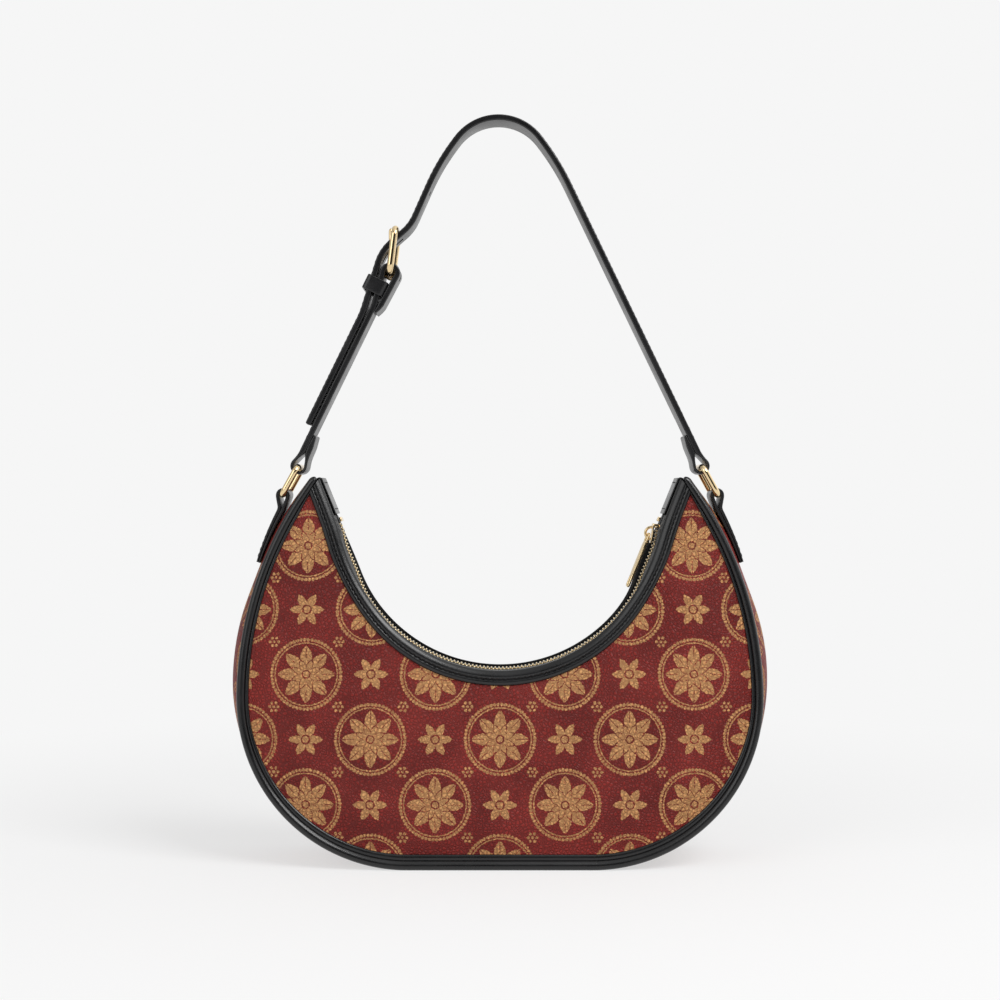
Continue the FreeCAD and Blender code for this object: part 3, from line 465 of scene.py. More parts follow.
def leather(name, low, high, roughness, grain, depth):
    """Finished black leather: an almost even dark colour, with fine creases that scatter a soft highlight.

    grain is the width of the finest wrinkles in mm, drawn a little coarse so that they show, depth their height.
    """
    material, tree, coords = new_material(name)
    wrinkles = add(tree, "TexVoronoi", coords, sockets={"Scale": 1 / (grain * MM)}, feature="DISTANCE_TO_EDGE")
    pores = add(tree, "TexNoise", coords, sockets={"Scale": 1 / (0.4 * grain * MM), "Detail": 4.0})
    cloud = add(tree, "TexNoise", coords, sockets={"Scale": 1 / (14 * MM), "Detail": 3.0})
    colour = add(tree, "Mix", cloud, sockets={6: linear(low), 7: linear(high)}, data_type="RGBA").outputs[2]
    rough = add(tree, "MapRange", cloud, 0.3, 0.7, roughness - 0.05, roughness + 0.06)
    height = add(tree, "Math", pores, 0.5, wrinkles, operation="MULTIPLY_ADD")
    bump = add(tree, "Bump", sockets={"Strength": 0.4, "Distance": depth * MM, "Height": height})
    add(tree, "OutputMaterial", add(tree, "BsdfPrincipled", sockets={
        "Base Color": colour, "Roughness": rough, "Normal": bump, "IOR": 1.45, "Specular IOR Level": 0.6}))
    return material


def plated_brass(name, colour, roughness):
    """Gold-plated brass, tumbled and polished: a clear warm mirror with faint hairline scratches."""
    material, tree, coords = new_material(name)
    smear = add(tree, "TexNoise", coords, sockets={"Scale": 1 / (3.0 * MM), "Detail": 3.0})
    stretched = add(tree, "VectorMath", coords, (1.0, 6.0, 1.0), operation="MULTIPLY")
    scratch = add(tree, "TexNoise", stretched, sockets={"Scale": 1 / (0.7 * MM), "Detail": 2.0})
    rough = add(tree, "MapRange", smear, 0.3, 0.7, roughness - 0.03, roughness + 0.04)
    bump = add(tree, "Bump", sockets={"Strength": 0.06, "Distance": 0.05 * MM, "Height": scratch})
    add(tree, "OutputMaterial", add(tree, "BsdfPrincipled", sockets={
        "Base Color": linear(colour), "Metallic": 1.0, "Roughness": rough, "Normal": bump}))
    return material


def woven_cloth(name, low, high, thread, roughness):
    """Woven polyester: two crossed sets of threads, thread mm apart, drawn coarse enough to show."""
    material, tree, coords = new_material(name)
    waves = [add(tree, "TexWave", coords, sockets={"Scale": 2 * math.pi / (20 * thread * MM), "Distortion": 0.6},
                 bands_direction=way, wave_profile="SIN") for way in ("DIAGONAL", "Y")]
    weave = add(tree, "Math", waves[0].outputs["Fac"], waves[1].outputs["Fac"], operation="MULTIPLY")
    colour = add(tree, "Mix", weave, sockets={6: linear(low), 7: linear(high)}, data_type="RGBA").outputs[2]
    bump = add(tree, "Bump", sockets={"Strength": 0.5, "Distance": 0.15 * MM, "Height": weave})
    add(tree, "OutputMaterial", add(tree, "BsdfPrincipled", sockets={
        "Base Color": colour, "Roughness": roughness, "Normal": bump, "Sheen Weight": 0.2}))
    return material


def bonded_thread():
    """Bonded nylon thread: black, twisted, with a soft waxy shine."""
    material, tree, coords = new_material("bonded_nylon_thread")
    twist = add(tree, "TexWave", coords, sockets={"Scale": 2 * math.pi / (20 * 0.5 * MM)}, bands_direction="DIAGONAL")
    bump = add(tree, "Bump", sockets={"Strength": 0.4, "Distance": 0.06 * MM, "Height": twist.outputs["Fac"]})
    rough = add(tree, "MapRange", twist.outputs["Fac"], 0.0, 1.0, 0.38, 0.52)
    add(tree, "OutputMaterial", add(tree, "BsdfPrincipled", sockets={
        "Base Color": linear("#101012"), "Roughness": rough, "Normal": bump}))
    return material


canvas = coated_canvas()
black_calf = leather("finished_black_calf", "#0b0b0c", "#131315", 0.28, 0.9, 0.05)
# brushed dull, and coloured darker than the black calf as painted shade, so that the facings stay a dark band beside
# the bright teeth
dull_calf_painted_shade = leather("brushed_black_calf_painted_shade", "#070708", "#0c0c0d", 0.75, 0.9, 0.05)
strap_calf = leather("edge_painted_strap_leather", "#0e0e0f", "#161618", 0.31, 0.7, 0.04)
gold = plated_brass("gold_plated_brass", "#ecd3a6", 0.1)
# paler and tumbled dull, so that each tooth shows as one light dot from any side
brass = plated_brass("bright_zip_brass", "#f6e6c4", 0.36)
tape_cloth = woven_cloth("zip_tape_polyester", "#08080a", "#1b1b1f", 0.7, 0.7)
twill = woven_cloth("lining_polyester_twill", "#0c0b0b", "#1e1b1b", 0.6, 0.6)
thread = bonded_thread()


# Body of the bag
def crescent(inset, depth, rows=240, columns=44):
    """Grid over a panel: straight rungs from the outline's inset to the mouth edge a depth below the roll.

    Returns x and height on the face, and a crown that grows from 0 at the edge to 1 some 30 mm inside it, and is
    lower where the panel is narrower than 70 mm.
    """
    tip = tip_point(MOUTH, inset, depth)
    outer = respaced(sampled(shell_path(CORNER_RADIUS, SIDE_RADIUS, inset, tip[1]), 2)[0], rows)
    inner = respaced(sampled(mouth_path(MOUTH, depth, tip), 2)[0], rows)
    share = np.linspace(0, 1, columns)
    grid = outer[:, None] + share[None, :, None] * (inner - outer)[:, None]
    room = np.linalg.norm(inner - outer, axis=1)[:, None]
    from_edge = room * np.minimum(share, 1 - share)[None, :]
    crown = 1 - np.exp(-(from_edge / 16) ** 2)
    crown = crown * np.clip(room / 70, 0, 1)
    return grid[..., 0], grid[..., 1], crown


def panel_swell(x, height, crown):
    """Stuffed swell of a panel: a crown of 4.6 mm with slow waves of about half a millimetre."""
    waves = 0.35 * np.sin(x / 19 + 1.1) * np.sin(height / 15 + 0.4) + 0.2 * np.sin(x / 8.3 - height / 11)
    return 4.6 * crown + waves * crown


for side, name in FACES:
    x, height, crown = crescent(PIPING_INSET - 1.4, 4.4)
    out = panel_swell(x, height, crown) - 0.1
    skin = wall(on_face(side, x, height, out), on_face(side, x, height, out - LEATHER))
    flat = np.stack([x * -side, height], -1) / 100
    piece(name + "_panel_skin", [surface(skin)], canvas, "bag", "printed_leather", name + "_panel",
          uv=wall(flat, flat))
    x, height, crown = crescent(PIPING_INSET + 0.2, 6.6, rows=120, columns=20)
    out = panel_swell(x, height, crown) - 1.8
    cloth = wall(on_face(side, x, height, out), on_face(side, x, height, out - CLOTH))
    lining = piece(name + "_lining_cloth", [surface(cloth)], twill, "bag", "lining_cloth", "lining_" + name)

# Slip pocket on the back lining, which gapes by 0.8 mm at the middle of its mouth
POCKET_HALF_WIDTH, POCKET_LOW, POCKET_HIGH, POCKET_SEAT = 60, 24, 86, -2.6
x, height = np.meshgrid(np.linspace(-POCKET_HALF_WIDTH, POCKET_HALF_WIDTH, 60),
                        np.linspace(POCKET_LOW, POCKET_HIGH, 40), indexing="ij")
rise = np.clip((height - POCKET_LOW) / (POCKET_HIGH - POCKET_LOW), 0, 1)
out = POCKET_SEAT - 0.8 * rise ** 2 * np.cos(x / POCKET_HALF_WIDTH * math.pi / 2)
pocket = wall(on_face(1, x, height, out), on_face(1, x, height, out - CLOTH))
pocket_cloth = piece("inner_pocket_cloth", [surface(pocket)], twill, "bag", "lining_cloth", "inner_pocket")


def gusset_grid(inset, thickness, set_back, top, rows=260, columns=34):
    """Strip from tip to tip: the outline at its two edges, swelling to a fuller outline half way across.

    It swells less near a height of 152 mm, under the strap tabs, and has ripples of 0.35 mm above the base.
    Returns the outer grid, the inner grid, and the distance along and across in mm.
    """
    edge, full = (respaced(sampled(shell_path(corner, side, inset, top), 2)[0], rows) for corner, side in (
        (CORNER_RADIUS, SIDE_RADIUS), (GUSSET_CORNER, GUSSET_SIDE)))
    across = np.linspace(-1, 1, columns)
    flatter = 0.45 * np.exp(-((full[:, 1] - 152) / 22) ** 2)
    swell = ((1 - flatter)[:, None] * (1 - across ** 2)[None, :])[..., None]
    plane = edge[:, None] * (1 - swell) + full[:, None] * swell
    along = travelled(edge)[:, None]
    ripple = 0.35 * np.sin(along / 14) * np.sin(along / 37 + 1) * (1 - across ** 2)[None, :]
    normal = normals(full)[:, None]
    plane = plane + np.where(plane[..., 1:] > 6, ripple[..., None], 0) * normal
    half = BASE_HALF_DEPTH - set_back - plane[..., 1] * math.tan(LEAN)
    y = across[None, :] * half
    return at_y(plane, y), at_y(plane + thickness * normal, y), np.stack(np.broadcast_arrays(along, y), -1)


outer, inner, flat = gusset_grid(0.0, LEATHER, 2.2, TIP_HEIGHT - 0.8)
piece("gusset_skin", [surface(wall(outer, inner))], canvas, "bag", "printed_leather", "gusset",
      uv=wall(flat, flat) / 100)
outer, inner, flat = gusset_grid(2.4, CLOTH, 3.0, 191.0, rows=120, columns=14)
gusset_lining = piece("gusset_lining_cloth", [surface(wall(outer, inner))], twill, "bag", "lining_cloth",
                      "lining_gusset")


def profile_on_outline(side, profile, spread):
    """Profile of (inset, out) points carried round the outline of a face, to just past both tips.

    spread widens the lip, which is past 3.6 mm inset, towards the base, where the leather lies flatter. In the upper
    half the lip is narrower, over the last 24 mm it draws in, over the last 5 mm the path bends over the tip by an arc
    of 4 mm radius, and over the last 2 mm the profile closes to a round end.
    """
    lip_start, bend, radius = 3.6, 5, 4
    path, way = sampled(shell_path(CORNER_RADIUS, SIDE_RADIUS, 0, TIP_HEIGHT + 3.2), 0.25)
    along = travelled(path)
    to_end = np.minimum(along, along[-1] - along)
    keep = (to_end < 6) | (np.arange(len(path)) % 5 == 0)
    path, way, to_end = path[keep], way[keep], to_end[keep, None]
    bent, onward = np.clip(bend - to_end, 0, None), np.where(np.arange(len(path)) * 2 > len(path), 1, -1)[:, None]
    turn = bent / radius
    path = path - onward * (bent - radius * np.sin(turn)) * way + radius * (1 - np.cos(turn)) * left_of(way)
    way = np.cos(turn) * way + onward * np.sin(turn) * left_of(way)
    low, lower = np.clip(1 - path[:, 1:] / 70, 0, 1), np.clip(1.6 - path[:, 1:] / 100, 0, 1)
    lip = (1 + spread * low / 2.6) * (0.8 + 0.2 * lower) * (0.1 + 0.9 * np.clip(to_end / 24, 0, 1))
    inset, out = profile[None, :, 0], profile[None, :, 1]
    inset = np.minimum(inset, lip_start) + lip * np.clip(inset - lip_start, 0, None)
    round_end = np.sqrt(np.clip(1 - (1 - np.clip(to_end / 2.0, 0, 1)) ** 2, 0.0, 1))
    inset, out = 2.05 + (inset - 2.05) * round_end, -0.1 + (out + 0.1) * round_end
    plane = path[:, None] + inset[..., None] * left_of(way)[:, None]
    return on_face(side, plane[..., 0], plane[..., 1], out)


def piping_profile():
    """Bead of 2.3 mm radius, a tight groove, and a low folded lip that lies on the panel, closed underneath."""
    turn = np.radians(np.linspace(250, -28, 22))
    bead = np.stack([2.1 - 2.3 * np.cos(turn), -0.1 + 2.3 * np.sin(turn)], 1)
    lip_turn = np.linspace(0, math.pi, 9)
    lip = np.stack([5.15 - 1.1 * np.cos(lip_turn), 0.05 + 1.05 * np.sin(lip_turn)], 1)
    under = np.array([[6.25, -0.9], [4.4, -1.9], [3.0, -2.5]])
    return np.concatenate([bead, lip, under])


for side, name in FACES:
    cord = profile_on_outline(side, piping_profile(), 1.6)
    piece(name + "_piping_leather", [surface(capped(cord))], black_calf, "bag", "black_leather",
          name + "_piping", smooth=50)


def on_track(track, depths, rows, inset=None, top=None):
    """Rows of points along a mouth track at several depths below it, each cut off at its own tip or at a height."""
    edges = []
    for depth in depths:
        start, upward = flare_line(track, depth)
        end = shift(start, (top - start[1]) / upward[1], 0, upward) if top else tip_point(track, inset, depth)
        edges.append(respaced(sampled(mouth_path(track, depth, end), 2)[0], rows))
    return np.stack(edges, 1)


def band_profile():
    """Rolled edge with its soft crest, the stitched groove, and a narrow lip: (depth, out) round the section."""
    depth = np.array([0.0, 0.05, 0.5, 1.2, 2.0, 2.9, 3.6, 4.1, 4.45, 4.8, 5.1, 5.5, 6.1, 6.8, 7.4, 7.8, 7.9,
                      7.7, 5.0, 2.0, 0.4])
    out = np.array([0.0, 0.5, 1.0, 1.55, 2.0, 2.35, 2.4, 2.0, 1.4, 1.15, 1.25, 1.5, 1.6, 1.4, 1.05, 0.4, 0.0,
                    -0.25, -0.2, -0.2, -0.2])
    return depth, out


THREAD = (0.3, 0.24)      # mm, half the width and height of a stitch


def stitch_row(places, pitch, length, lift, up):
    """Stitches along a row of points: beads a pitch apart, lifted off the surface along its way up at each point."""
    along = travelled(places)
    count = int(along[-1] // pitch)
    middle = (np.arange(count) + 0.5) * along[-1] / count
    ahead = unit(looked_up(middle + 0.4, along, places) - looked_up(middle - 0.4, along, places))
    normal = looked_up(middle, along, up)
    normal = unit(normal - (normal * ahead).sum(1, keepdims=True) * ahead)
    return beads(looked_up(middle, along, places) + lift * normal, ahead, normal, (length / 2, *THREAD))


def sewn(name, rows, body="bag"):
    """One object of many stitches."""
    return piece(name, rows, thread, body, "black_leather", merge=False)


BACK_SAG = 1.1            # mm, the back of the mouth hangs this much lower than the front
FRONT_PULL = -1.5         # mm, how far the flanks of the mouth's edge are drawn in: the front ones are let out
BACK_PULL_RIGHT, BACK_PULL_LEFT = 3.0, 0.4
BAND_SEAM = 4.0           # mm below the roll


def drawn_in(plane, amount, height=158.0, reach=15.0):
    """Points drawn towards the mouth's middle by an amount in mm, most of all at a height on its flanks."""
    to_mouth = np.array(ZIP[0]) - plane
    share = np.exp(-((plane[..., 1:] - height) / reach) ** 2)
    return plane + amount * share * to_mouth / np.linalg.norm(to_mouth, axis=-1, keepdims=True)


def mouth_edge(side, depths, inset):
    """Rows along the mouth's edge on one face: the back one hangs lower, and its flanks are drawn in."""
    plane = on_track(MOUTH, np.array(depths) + (BACK_SAG if side > 0 else 0), 240, inset)
    return drawn_in(plane, np.where(plane[..., :1] > 0, BACK_PULL_RIGHT, BACK_PULL_LEFT) if side > 0 else FRONT_PULL)


for side, name in FACES:
    depth, out = band_profile()
    plane = mouth_edge(side, depth, BAND_INSET)
    band = on_face(side, plane[..., 0], plane[..., 1], out[None, :])
    piece(name + "_band_leather", [surface(capped(band))], black_calf, "bag", "black_leather",
          name + "_top_band", smooth=50)
    row = mouth_edge(side, [BAND_SEAM], PIPING_INSET + 1)[:, 0]
    places = on_face(side, row[:, 0], row[:, 1], 2.05)
    outward = np.repeat([[0, side * math.cos(LEAN), math.sin(LEAN)]], len(places), 0)
    sewn(name + "_band_stitches", [stitch_row(places, 2.8, 2.0, 0.12, outward)])


# Zip
def strip_profile(low, high, rounding=0.5):
    """Section of a flat strip with rounded edges: its depth from low to high, a nudge across that rounds the edges,
    and a share across that is 0 at the near edge and 1 at the far one.
    """
    turn = np.linspace(math.pi / 2, 3 * math.pi / 2, 7)
    middle, half = (low + high) / 2, (high - low) / 2
    depth = np.concatenate([middle - half * np.sin(turn), middle + half * np.sin(turn)])
    edge = rounding * half * np.cos(turn)
    return depth, np.concatenate([edge, -edge]), np.repeat([0, 1], 7)


def zip_strip(side, depth, nudge, share, near, rows):
    """Strip along the zip track, from a distance off the middle to 0.6 mm short of the leaning face."""
    plane = on_track(ZIP, depth, rows, BAND_INSET)
    plane = drawn_in(plane, (ZIP_RISE - (ZIP_RISE + FACING_SLACK) * share)[None, :, None])
    far = BASE_HALF_DEPTH - plane[..., 1] * math.tan(LEAN) - 0.6
    y = near + share[None, :] * (far - near) + nudge[None, :]
    return at_y(plane, side * y)


TAPE_TOP = 180.0          # height of the tape's ends, just under the end tabs
ZIP_RISE = 1.4            # mm, how far the stiff zip stands out of its slack facings on the flanks
RISE_HEIGHT, RISE_REACH = 152.0, 11.0
FACING_SLACK = 1.8        # mm, how far the facings hang back there at the panels
TAPE_NEAR, TAPE_FAR, TAPE_SEAM = 2.4, 12.0, 10.6     # mm off the middle

for side, name in FACES:
    depth, nudge, share = strip_profile(0.0, 1.4)
    facing = zip_strip(side, depth + 1.0 + 0.5 * share, nudge, share, 5.6, 200)
    piece(name + "_zip_facing_leather", [surface(capped(facing))], dull_calf_painted_shade, "bag", "black_leather",
          "zip_facing_" + name)
    depth, nudge, share = strip_profile(-0.7, -0.1)
    plane = on_track(ZIP, depth + 0.9 + 0.3 * share, 200, top=TAPE_TOP)
    plane = drawn_in(plane, ZIP_RISE * (1 - 0.5 * share)[:, None], RISE_HEIGHT, RISE_REACH)
    tape = at_y(plane, side * (TAPE_NEAR + share[None, :] * (TAPE_FAR - TAPE_NEAR) + nudge[None, :]))
    piece(name + "_zip_tape_cloth", [surface(capped(tape))], tape_cloth, "bag", "zip_tape", "zip_tape_" + name)
    plane = on_track(ZIP, [0.46], 200, top=TAPE_TOP - 1)[:, 0]
    upward = unit(at_y(np.array([0, ZIP[0][1]]) - plane, 0.0))
    sewn(name + "_tape_stitches", [stitch_row(at_y(plane, side * TAPE_SEAM), 3.0, 2.1, 0.06, upward)])

CHAIN_RADIUS = ZIP[1] - 0.4
SLIDER_TURN = math.radians(81.5)


def on_chain(angle):
    """Middle of the chain at an angle from straight down, with the way along it and the way out of the bag.

    Past the ends of the arc the chain goes straight on up the flare, by the arc's length for the rest of the angle.
    """
    angle = np.asarray(angle, float)
    turn = np.clip(angle, -ZIP[2], ZIP[2])
    over = CHAIN_RADIUS * (angle - turn)
    middle = np.stack([CHAIN_RADIUS * np.sin(turn) + over * math.sin(FLARE), 0 * angle,
                       ZIP[0][1] - CHAIN_RADIUS * np.cos(turn) + np.abs(over) * math.cos(FLARE)], -1)
    along = np.stack([np.cos(angle), 0 * angle, np.sin(angle)], -1)
    return middle, along, np.stack([-np.sin(angle), 0 * angle, np.cos(angle)], -1)


def squared(value, power):
    """Sine or cosine raised to a power under 1, its sign kept, which squares a round section."""
    return np.sign(value) * np.abs(value) ** power


def boxy(half_sizes, rings, sides, power):
    """Rounded block: an ellipsoid with squared sines and cosines."""
    turn = np.linspace(0, math.pi, rings + 1)[:, None]
    round_ = np.linspace(0, 2 * math.pi, sides, endpoint=False)[None, :] + math.pi / sides
    wide = squared(np.sin(turn), power)
    return np.stack(np.broadcast_arrays(-squared(np.cos(turn), power) * half_sizes[0],
                                        wide * squared(np.cos(round_), power) * half_sizes[1],
                                        wide * squared(np.sin(round_), power) * half_sizes[2]), -1)


def placed(grid, origin, along, across, up):
    """Grid in a piece's own axes set down at a place."""
    return np.asarray(origin) + grid[..., :1] * along + grid[..., 1:2] * across + grid[..., 2:] * up


TOOTH_PITCH = 2.0         # mm, the two rows set half a pitch apart
step = TOOTH_PITCH / CHAIN_RADIUS
finish_angle = SLIDER_TURN + 2.05 / CHAIN_RADIUS
tooth_count = int((finish_angle + SLIDER_TURN + 5.8 / CHAIN_RADIUS) / step) + 1
# the back row lies lower, so that only its tops show over the front row
for (side, name), phase, half_height, sunk in zip(FACES, (0.25, 0.75), (1.0, 0.68), (0.2, 0.86)):
    middle, along, up = on_chain(finish_angle - (np.arange(tooth_count) + phase) * step)
    middle[:, ::2] = drawn_in(middle[:, ::2], ZIP_RISE, RISE_HEIGHT, RISE_REACH)
    tooth = boxy((0.46, 1.5, half_height), 4, 8, 0.55) - [0, 0, sunk]
    tooth[..., 0] *= 1 - 0.25 * (side * tooth[..., 1] > 0.4)
    row = copies(*surface(tooth), middle + 0.7 * side * ACROSS, along, np.broadcast_to(ACROSS, along.shape), up)
    piece(name + "_zip_teeth_metal", [row], brass, "bag", "gold_metal", "zip_teeth_" + name)

# Slider and pull, in the slider's own axes: along the zip, across it, and out of the bag
slider_seat, slider_along, slider_up = on_chain(SLIDER_TURN)
PLATE_MIDDLE, PLATE_TOP, PLATE_HALF_LENGTH = 2.05, 2.55, 5.25
BRIDGE = 3.2              # mm, radius of the bow over the slider
EYE_TURN = math.radians(150)      # where on the bow the pull's eye hangs


def slider_plate(level):
    """Rounded plate, narrower at its nose: the width falls to 0.68 of itself over the rear half."""
    grid = boxy((PLATE_HALF_LENGTH, 4.2, 0.5), 28, 32, 0.3)
    grid[..., 1] *= 1 - 0.32 * np.clip(-grid[..., 0] / PLATE_HALF_LENGTH, 0, 1) ** 1.3
    return grid + [0, 0, level]


bow = np.linspace(0, math.pi, 28)
bridge = np.stack([BRIDGE * np.cos(bow), 0 * bow, PLATE_TOP - 0.3 + BRIDGE * np.sin(bow)], 1)
post = boxy((1.1, 1.0, 1.7), 10, 16, 0.4) + [4.1, 0, 0]
slider_parts = [slider_plate(PLATE_MIDDLE), slider_plate(-PLATE_MIDDLE), post, tube(bridge, 0.72, sides=14)]
piece("zip_slider_metal", [surface(placed(part, slider_seat, slider_along, ACROSS, slider_up))
                           for part in slider_parts], gold, "zip_slider", "gold_metal", "zip_slider")

PULL_LIFT = math.radians(13.5)
eye_seat = slider_seat + BRIDGE * math.cos(EYE_TURN) * slider_along + (
    PLATE_TOP + BRIDGE * math.sin(EYE_TURN)) * slider_up
pull_along = -math.cos(PULL_LIFT) * slider_along + math.sin(PULL_LIFT) * slider_up
pull_up = -math.sin(PULL_LIFT) * slider_along - math.cos(PULL_LIFT) * slider_up
PULL_TWIST = math.radians(10)     # the loose pull lies turned a little to the front
pull_across = math.cos(PULL_TWIST) * ACROSS - math.sin(PULL_TWIST) * pull_up
pull_up = math.cos(PULL_TWIST) * pull_up + math.sin(PULL_TWIST) * ACROSS


def flat_loop(near, far, half_width, corner):
    """Rounded rectangle in the pull's plane, from near to far along it."""
    path = rectangle(near, far, -half_width, half_width, corner, 0.3, 63)
    return np.stack([path[:, 0], path[:, 1], 0 * path[:, 0]], 1)


pull_parts = [(tube(flat_loop(-2.25, 2.25, 1.75, 1.2), 0.66, closed=True, sides=12, up=(0, 0, 1)), True),
              (boxy((10.2, 2.3, 0.75), 26, 24, 0.28) + [12.0, 0, 0], False),
              (tube(flat_loop(21.0, 27.3, 1.6, 1.0), 0.72, closed=True, sides=12, up=(0, 0, 1)), True)]
piece("zip_pull_metal", [surface(placed(part, eye_seat, pull_along, pull_across, pull_up), ring)
                         for part, ring in pull_parts], gold, "zip_pull", "gold_metal", "zip_pull")

# Stops, and the leather tabs that close the zip's ends
flare_start, flare_up = flare_line(ZIP, -1.45)
slider_end = CHAIN_RADIUS * (SLIDER_TURN - ZIP[2]) + PLATE_HALF_LENGTH
stop_middle = shift(flare_start, slider_end + 2.4, 0, flare_up)
stop_parts = []
for mirror, y, width in ((1, -2.3, 2.2), (1, 2.3, 2.2), (-1, 0.0, 9.4)):
    along = np.array([mirror * flare_up[0], 0, flare_up[1]])
    up = np.array([-mirror * flare_up[1], 0, flare_up[0]])
    block = boxy((1.2, width / 2, 0.65), 10, 16, 0.35)
    seat = (mirror * stop_middle[0], y, stop_middle[1])
    stop_parts.append(surface(placed(block, seat, along, ACROSS, up)))
piece("zip_stops_metal", stop_parts, gold, "bag", "gold_metal", "zip_stops")


def ribbon(path, thickness, width, corner=0.45, sides=7):
    """Strap along a row of points in the XZ plane: a section with rounded corners, its width along Y.

    thickness is one value or one for each point.
    """
    turn = (np.linspace(0, math.pi / 2, sides)[None] + np.arange(4)[:, None] * math.pi / 2).ravel()
    flank, end = np.repeat([1, -1, -1, 1], sides), np.repeat([1, 1, -1, -1], sides)
    half = np.broadcast_to(np.asarray(thickness, float) / 2, len(path))[:, None]
    corner = np.minimum(corner, 0.9 * half)
    off = flank * (half - corner) + corner * np.cos(turn)
    y = end * (width / 2 - corner) + corner * np.sin(turn)
    return at_y(path[:, None] + off[..., None] * normals(path)[:, None], y)


def eased(path, reach):
    """Path with its corners worn round: each point the mean of its neighbours, the ends kept."""
    kernel = np.ones(2 * reach + 1) / (2 * reach + 1)
    padded_path = np.concatenate([2 * path[:1] - path[reach:0:-1], path, 2 * path[-1:] - path[-2:-reach - 2:-1]])
    return np.stack([np.convolve(padded_path[:, k], kernel, "valid") for k in range(2)], 1)


def edge_rows(path, offset, half, pitch, length, span):
    """Two rows of stitches on one face of a strap, offset from its middle line, between two distances along it."""
    along = travelled(path)
    part = path[(along >= span[0]) & (along <= along[-1] + span[1] if span[1] < 0 else along <= span[1])]
    normal = normals(part)
    outward = at_y(normal, 0.0) * math.copysign(1, offset)
    return [stitch_row(at_y(part + offset * normal, y), pitch, length, 0.06, outward) for y in (-half, half)]


tab_tip = shift(tip_point(ZIP, PIPING_INSET + 0.9, -0.1), 1.7, 0, flare_up)
tab_foot = shift(flare_line(ZIP, -0.1)[0], slider_end + 5.9, 0, flare_up)
for mirror, name in SIDES:
    path = respaced(np.array([tab_foot, tab_tip]), 24) + 0.5 * np.array([-flare_up[1], flare_up[0]])
    path = path * np.array([mirror, 1])
    piece("zip_end_tab_leather_" + name, [surface(capped(ribbon(path, 1.0, 20.0, 0.45)))], black_calf, "bag",
          "black_leather", "zip_end_tab_" + name)
    top = path + 0.75 * np.array([-mirror * flare_up[1], flare_up[0]])
    y = np.linspace(-6.6, 6.6, 20)
    up = np.repeat([[-mirror * flare_up[1], 0, flare_up[0]]], len(y), 0)
    sewn("zip_end_tab_stitches_" + name, [stitch_row(at_y(top[k], y), 2.9, 2.0, 0.06, up) for k in (3, 20)])

# Strap tabs on the gusset, and rings
gusset_centre = (BASE_HALF_LENGTH + GUSSET_CORNER - GUSSET_SIDE, GUSSET_CORNER)
TAB_LEATHER, TAB_HOLE, TAB_SEAT = 1.8, 1.9, 160.2
TAB_PARED = 0.8           # mm off the leather at the tab's lower end
loop_distance = TAB_SEAT + 5.1
loop_angle = math.asin((TIP_HEIGHT - 9.75 - gusset_centre[1]) / loop_distance)
tab_way = (-math.sin(loop_angle), math.cos(loop_angle))
tab_bar = shift(polar(gusset_centre, loop_distance, loop_angle), 0.7, 0, tab_way)
RING_LEAN, RING_LENGTH, RING_WIRE = math.radians(29), 16.4, 3.2
FRAME_WIDTH = 20          # mm inside the rings and the buckle
ring_way = (-math.sin(RING_LEAN), math.cos(RING_LEAN))
strap_bar = shift(tab_bar, RING_LENGTH, 0, ring_way)


def tab_line():
    """Folded tab: up the gusset, round the ring's bar on a circle that both layers touch, and down over itself.

    Returns its middle line and its thickness, which is pared down to its lower end.
    """
    loop_centre, circle = shift(tab_bar, -0.2, 0, tab_way), TAB_HOLE + TAB_LEATHER / 2
    share = np.linspace(1, 0, 60)
    angle, seat = loop_angle - (6 + 30 * share) / TAB_SEAT, TAB_SEAT - 0.4 - 1.9 * share
    outward = np.stack([np.cos(angle), np.sin(angle)], 1)
    pared = TAB_LEATHER - TAB_PARED * share
    layers = [gusset_centre + (seat + reach * pared)[:, None] * outward for reach in (0.5, 1.55)]
    touch = []
    for layer, way in zip(layers, (-1, 1)):
        base = math.atan2(layer[-1, 1] - loop_centre[1], layer[-1, 0] - loop_centre[0])
        touch.append(base + way * math.acos(circle / math.dist(layer[-1], loop_centre)))
    begin = touch[0] + (2 * math.pi if touch[0] < touch[1] else 0)
    loop = sampled([arc(loop_centre, circle, begin, touch[1])], 0.3)[0]
    line_ = eased(respaced(np.concatenate([layers[0], loop, layers[1][::-1]]), 180), 3)
    along = travelled(line_)
    return line_, TAB_LEATHER - TAB_PARED * np.clip(1 - np.minimum(along, along[-1] - along) / 30, 0, 1)


tab_path, tab_thickness = tab_line()


def wire_loop(origin, way, length, inner_width, wire, corner):
    """Closed wire frame: rounded rectangle from a bar at the origin, along a way in the XZ plane."""
    reach = (inner_width + wire) / 2
    path = rectangle(0, length, -reach, reach, corner, 0.4, 120)
    spine = np.stack([origin[0] + path[:, 0] * way[0], path[:, 1], origin[1] + path[:, 0] * way[1]], 1)
    return tube(spine, wire / 2, closed=True, sides=20, up=(-way[1], 0, way[0]))


for mirror, name in SIDES:
    flip = np.array([mirror, 1])
    piece("strap_tab_leather_" + name, [surface(capped(ribbon(tab_path * flip, tab_thickness, 17.0, 0.5)))],
          strap_calf, "bag", "black_leather", "strap_tab_" + name)
    sewn("strap_tab_stitches_" + name,
         edge_rows(tab_path * flip, mirror * 0.66, 6.9, 3.0, 2.1, (travelled(tab_path)[-1] - 26, -1.5)))
    ring = wire_loop(tab_bar, ring_way, RING_LENGTH, FRAME_WIDTH, RING_WIRE, corner=3.4) * np.array([mirror, 1, 1])
    piece("ring_metal_" + name, [surface(ring, True)], gold, "ring_" + name, "gold_metal", "ring_" + name)


# Strap
TUCK = 0.75               # mm, half of what is pared off a strap's end where it is sewn down


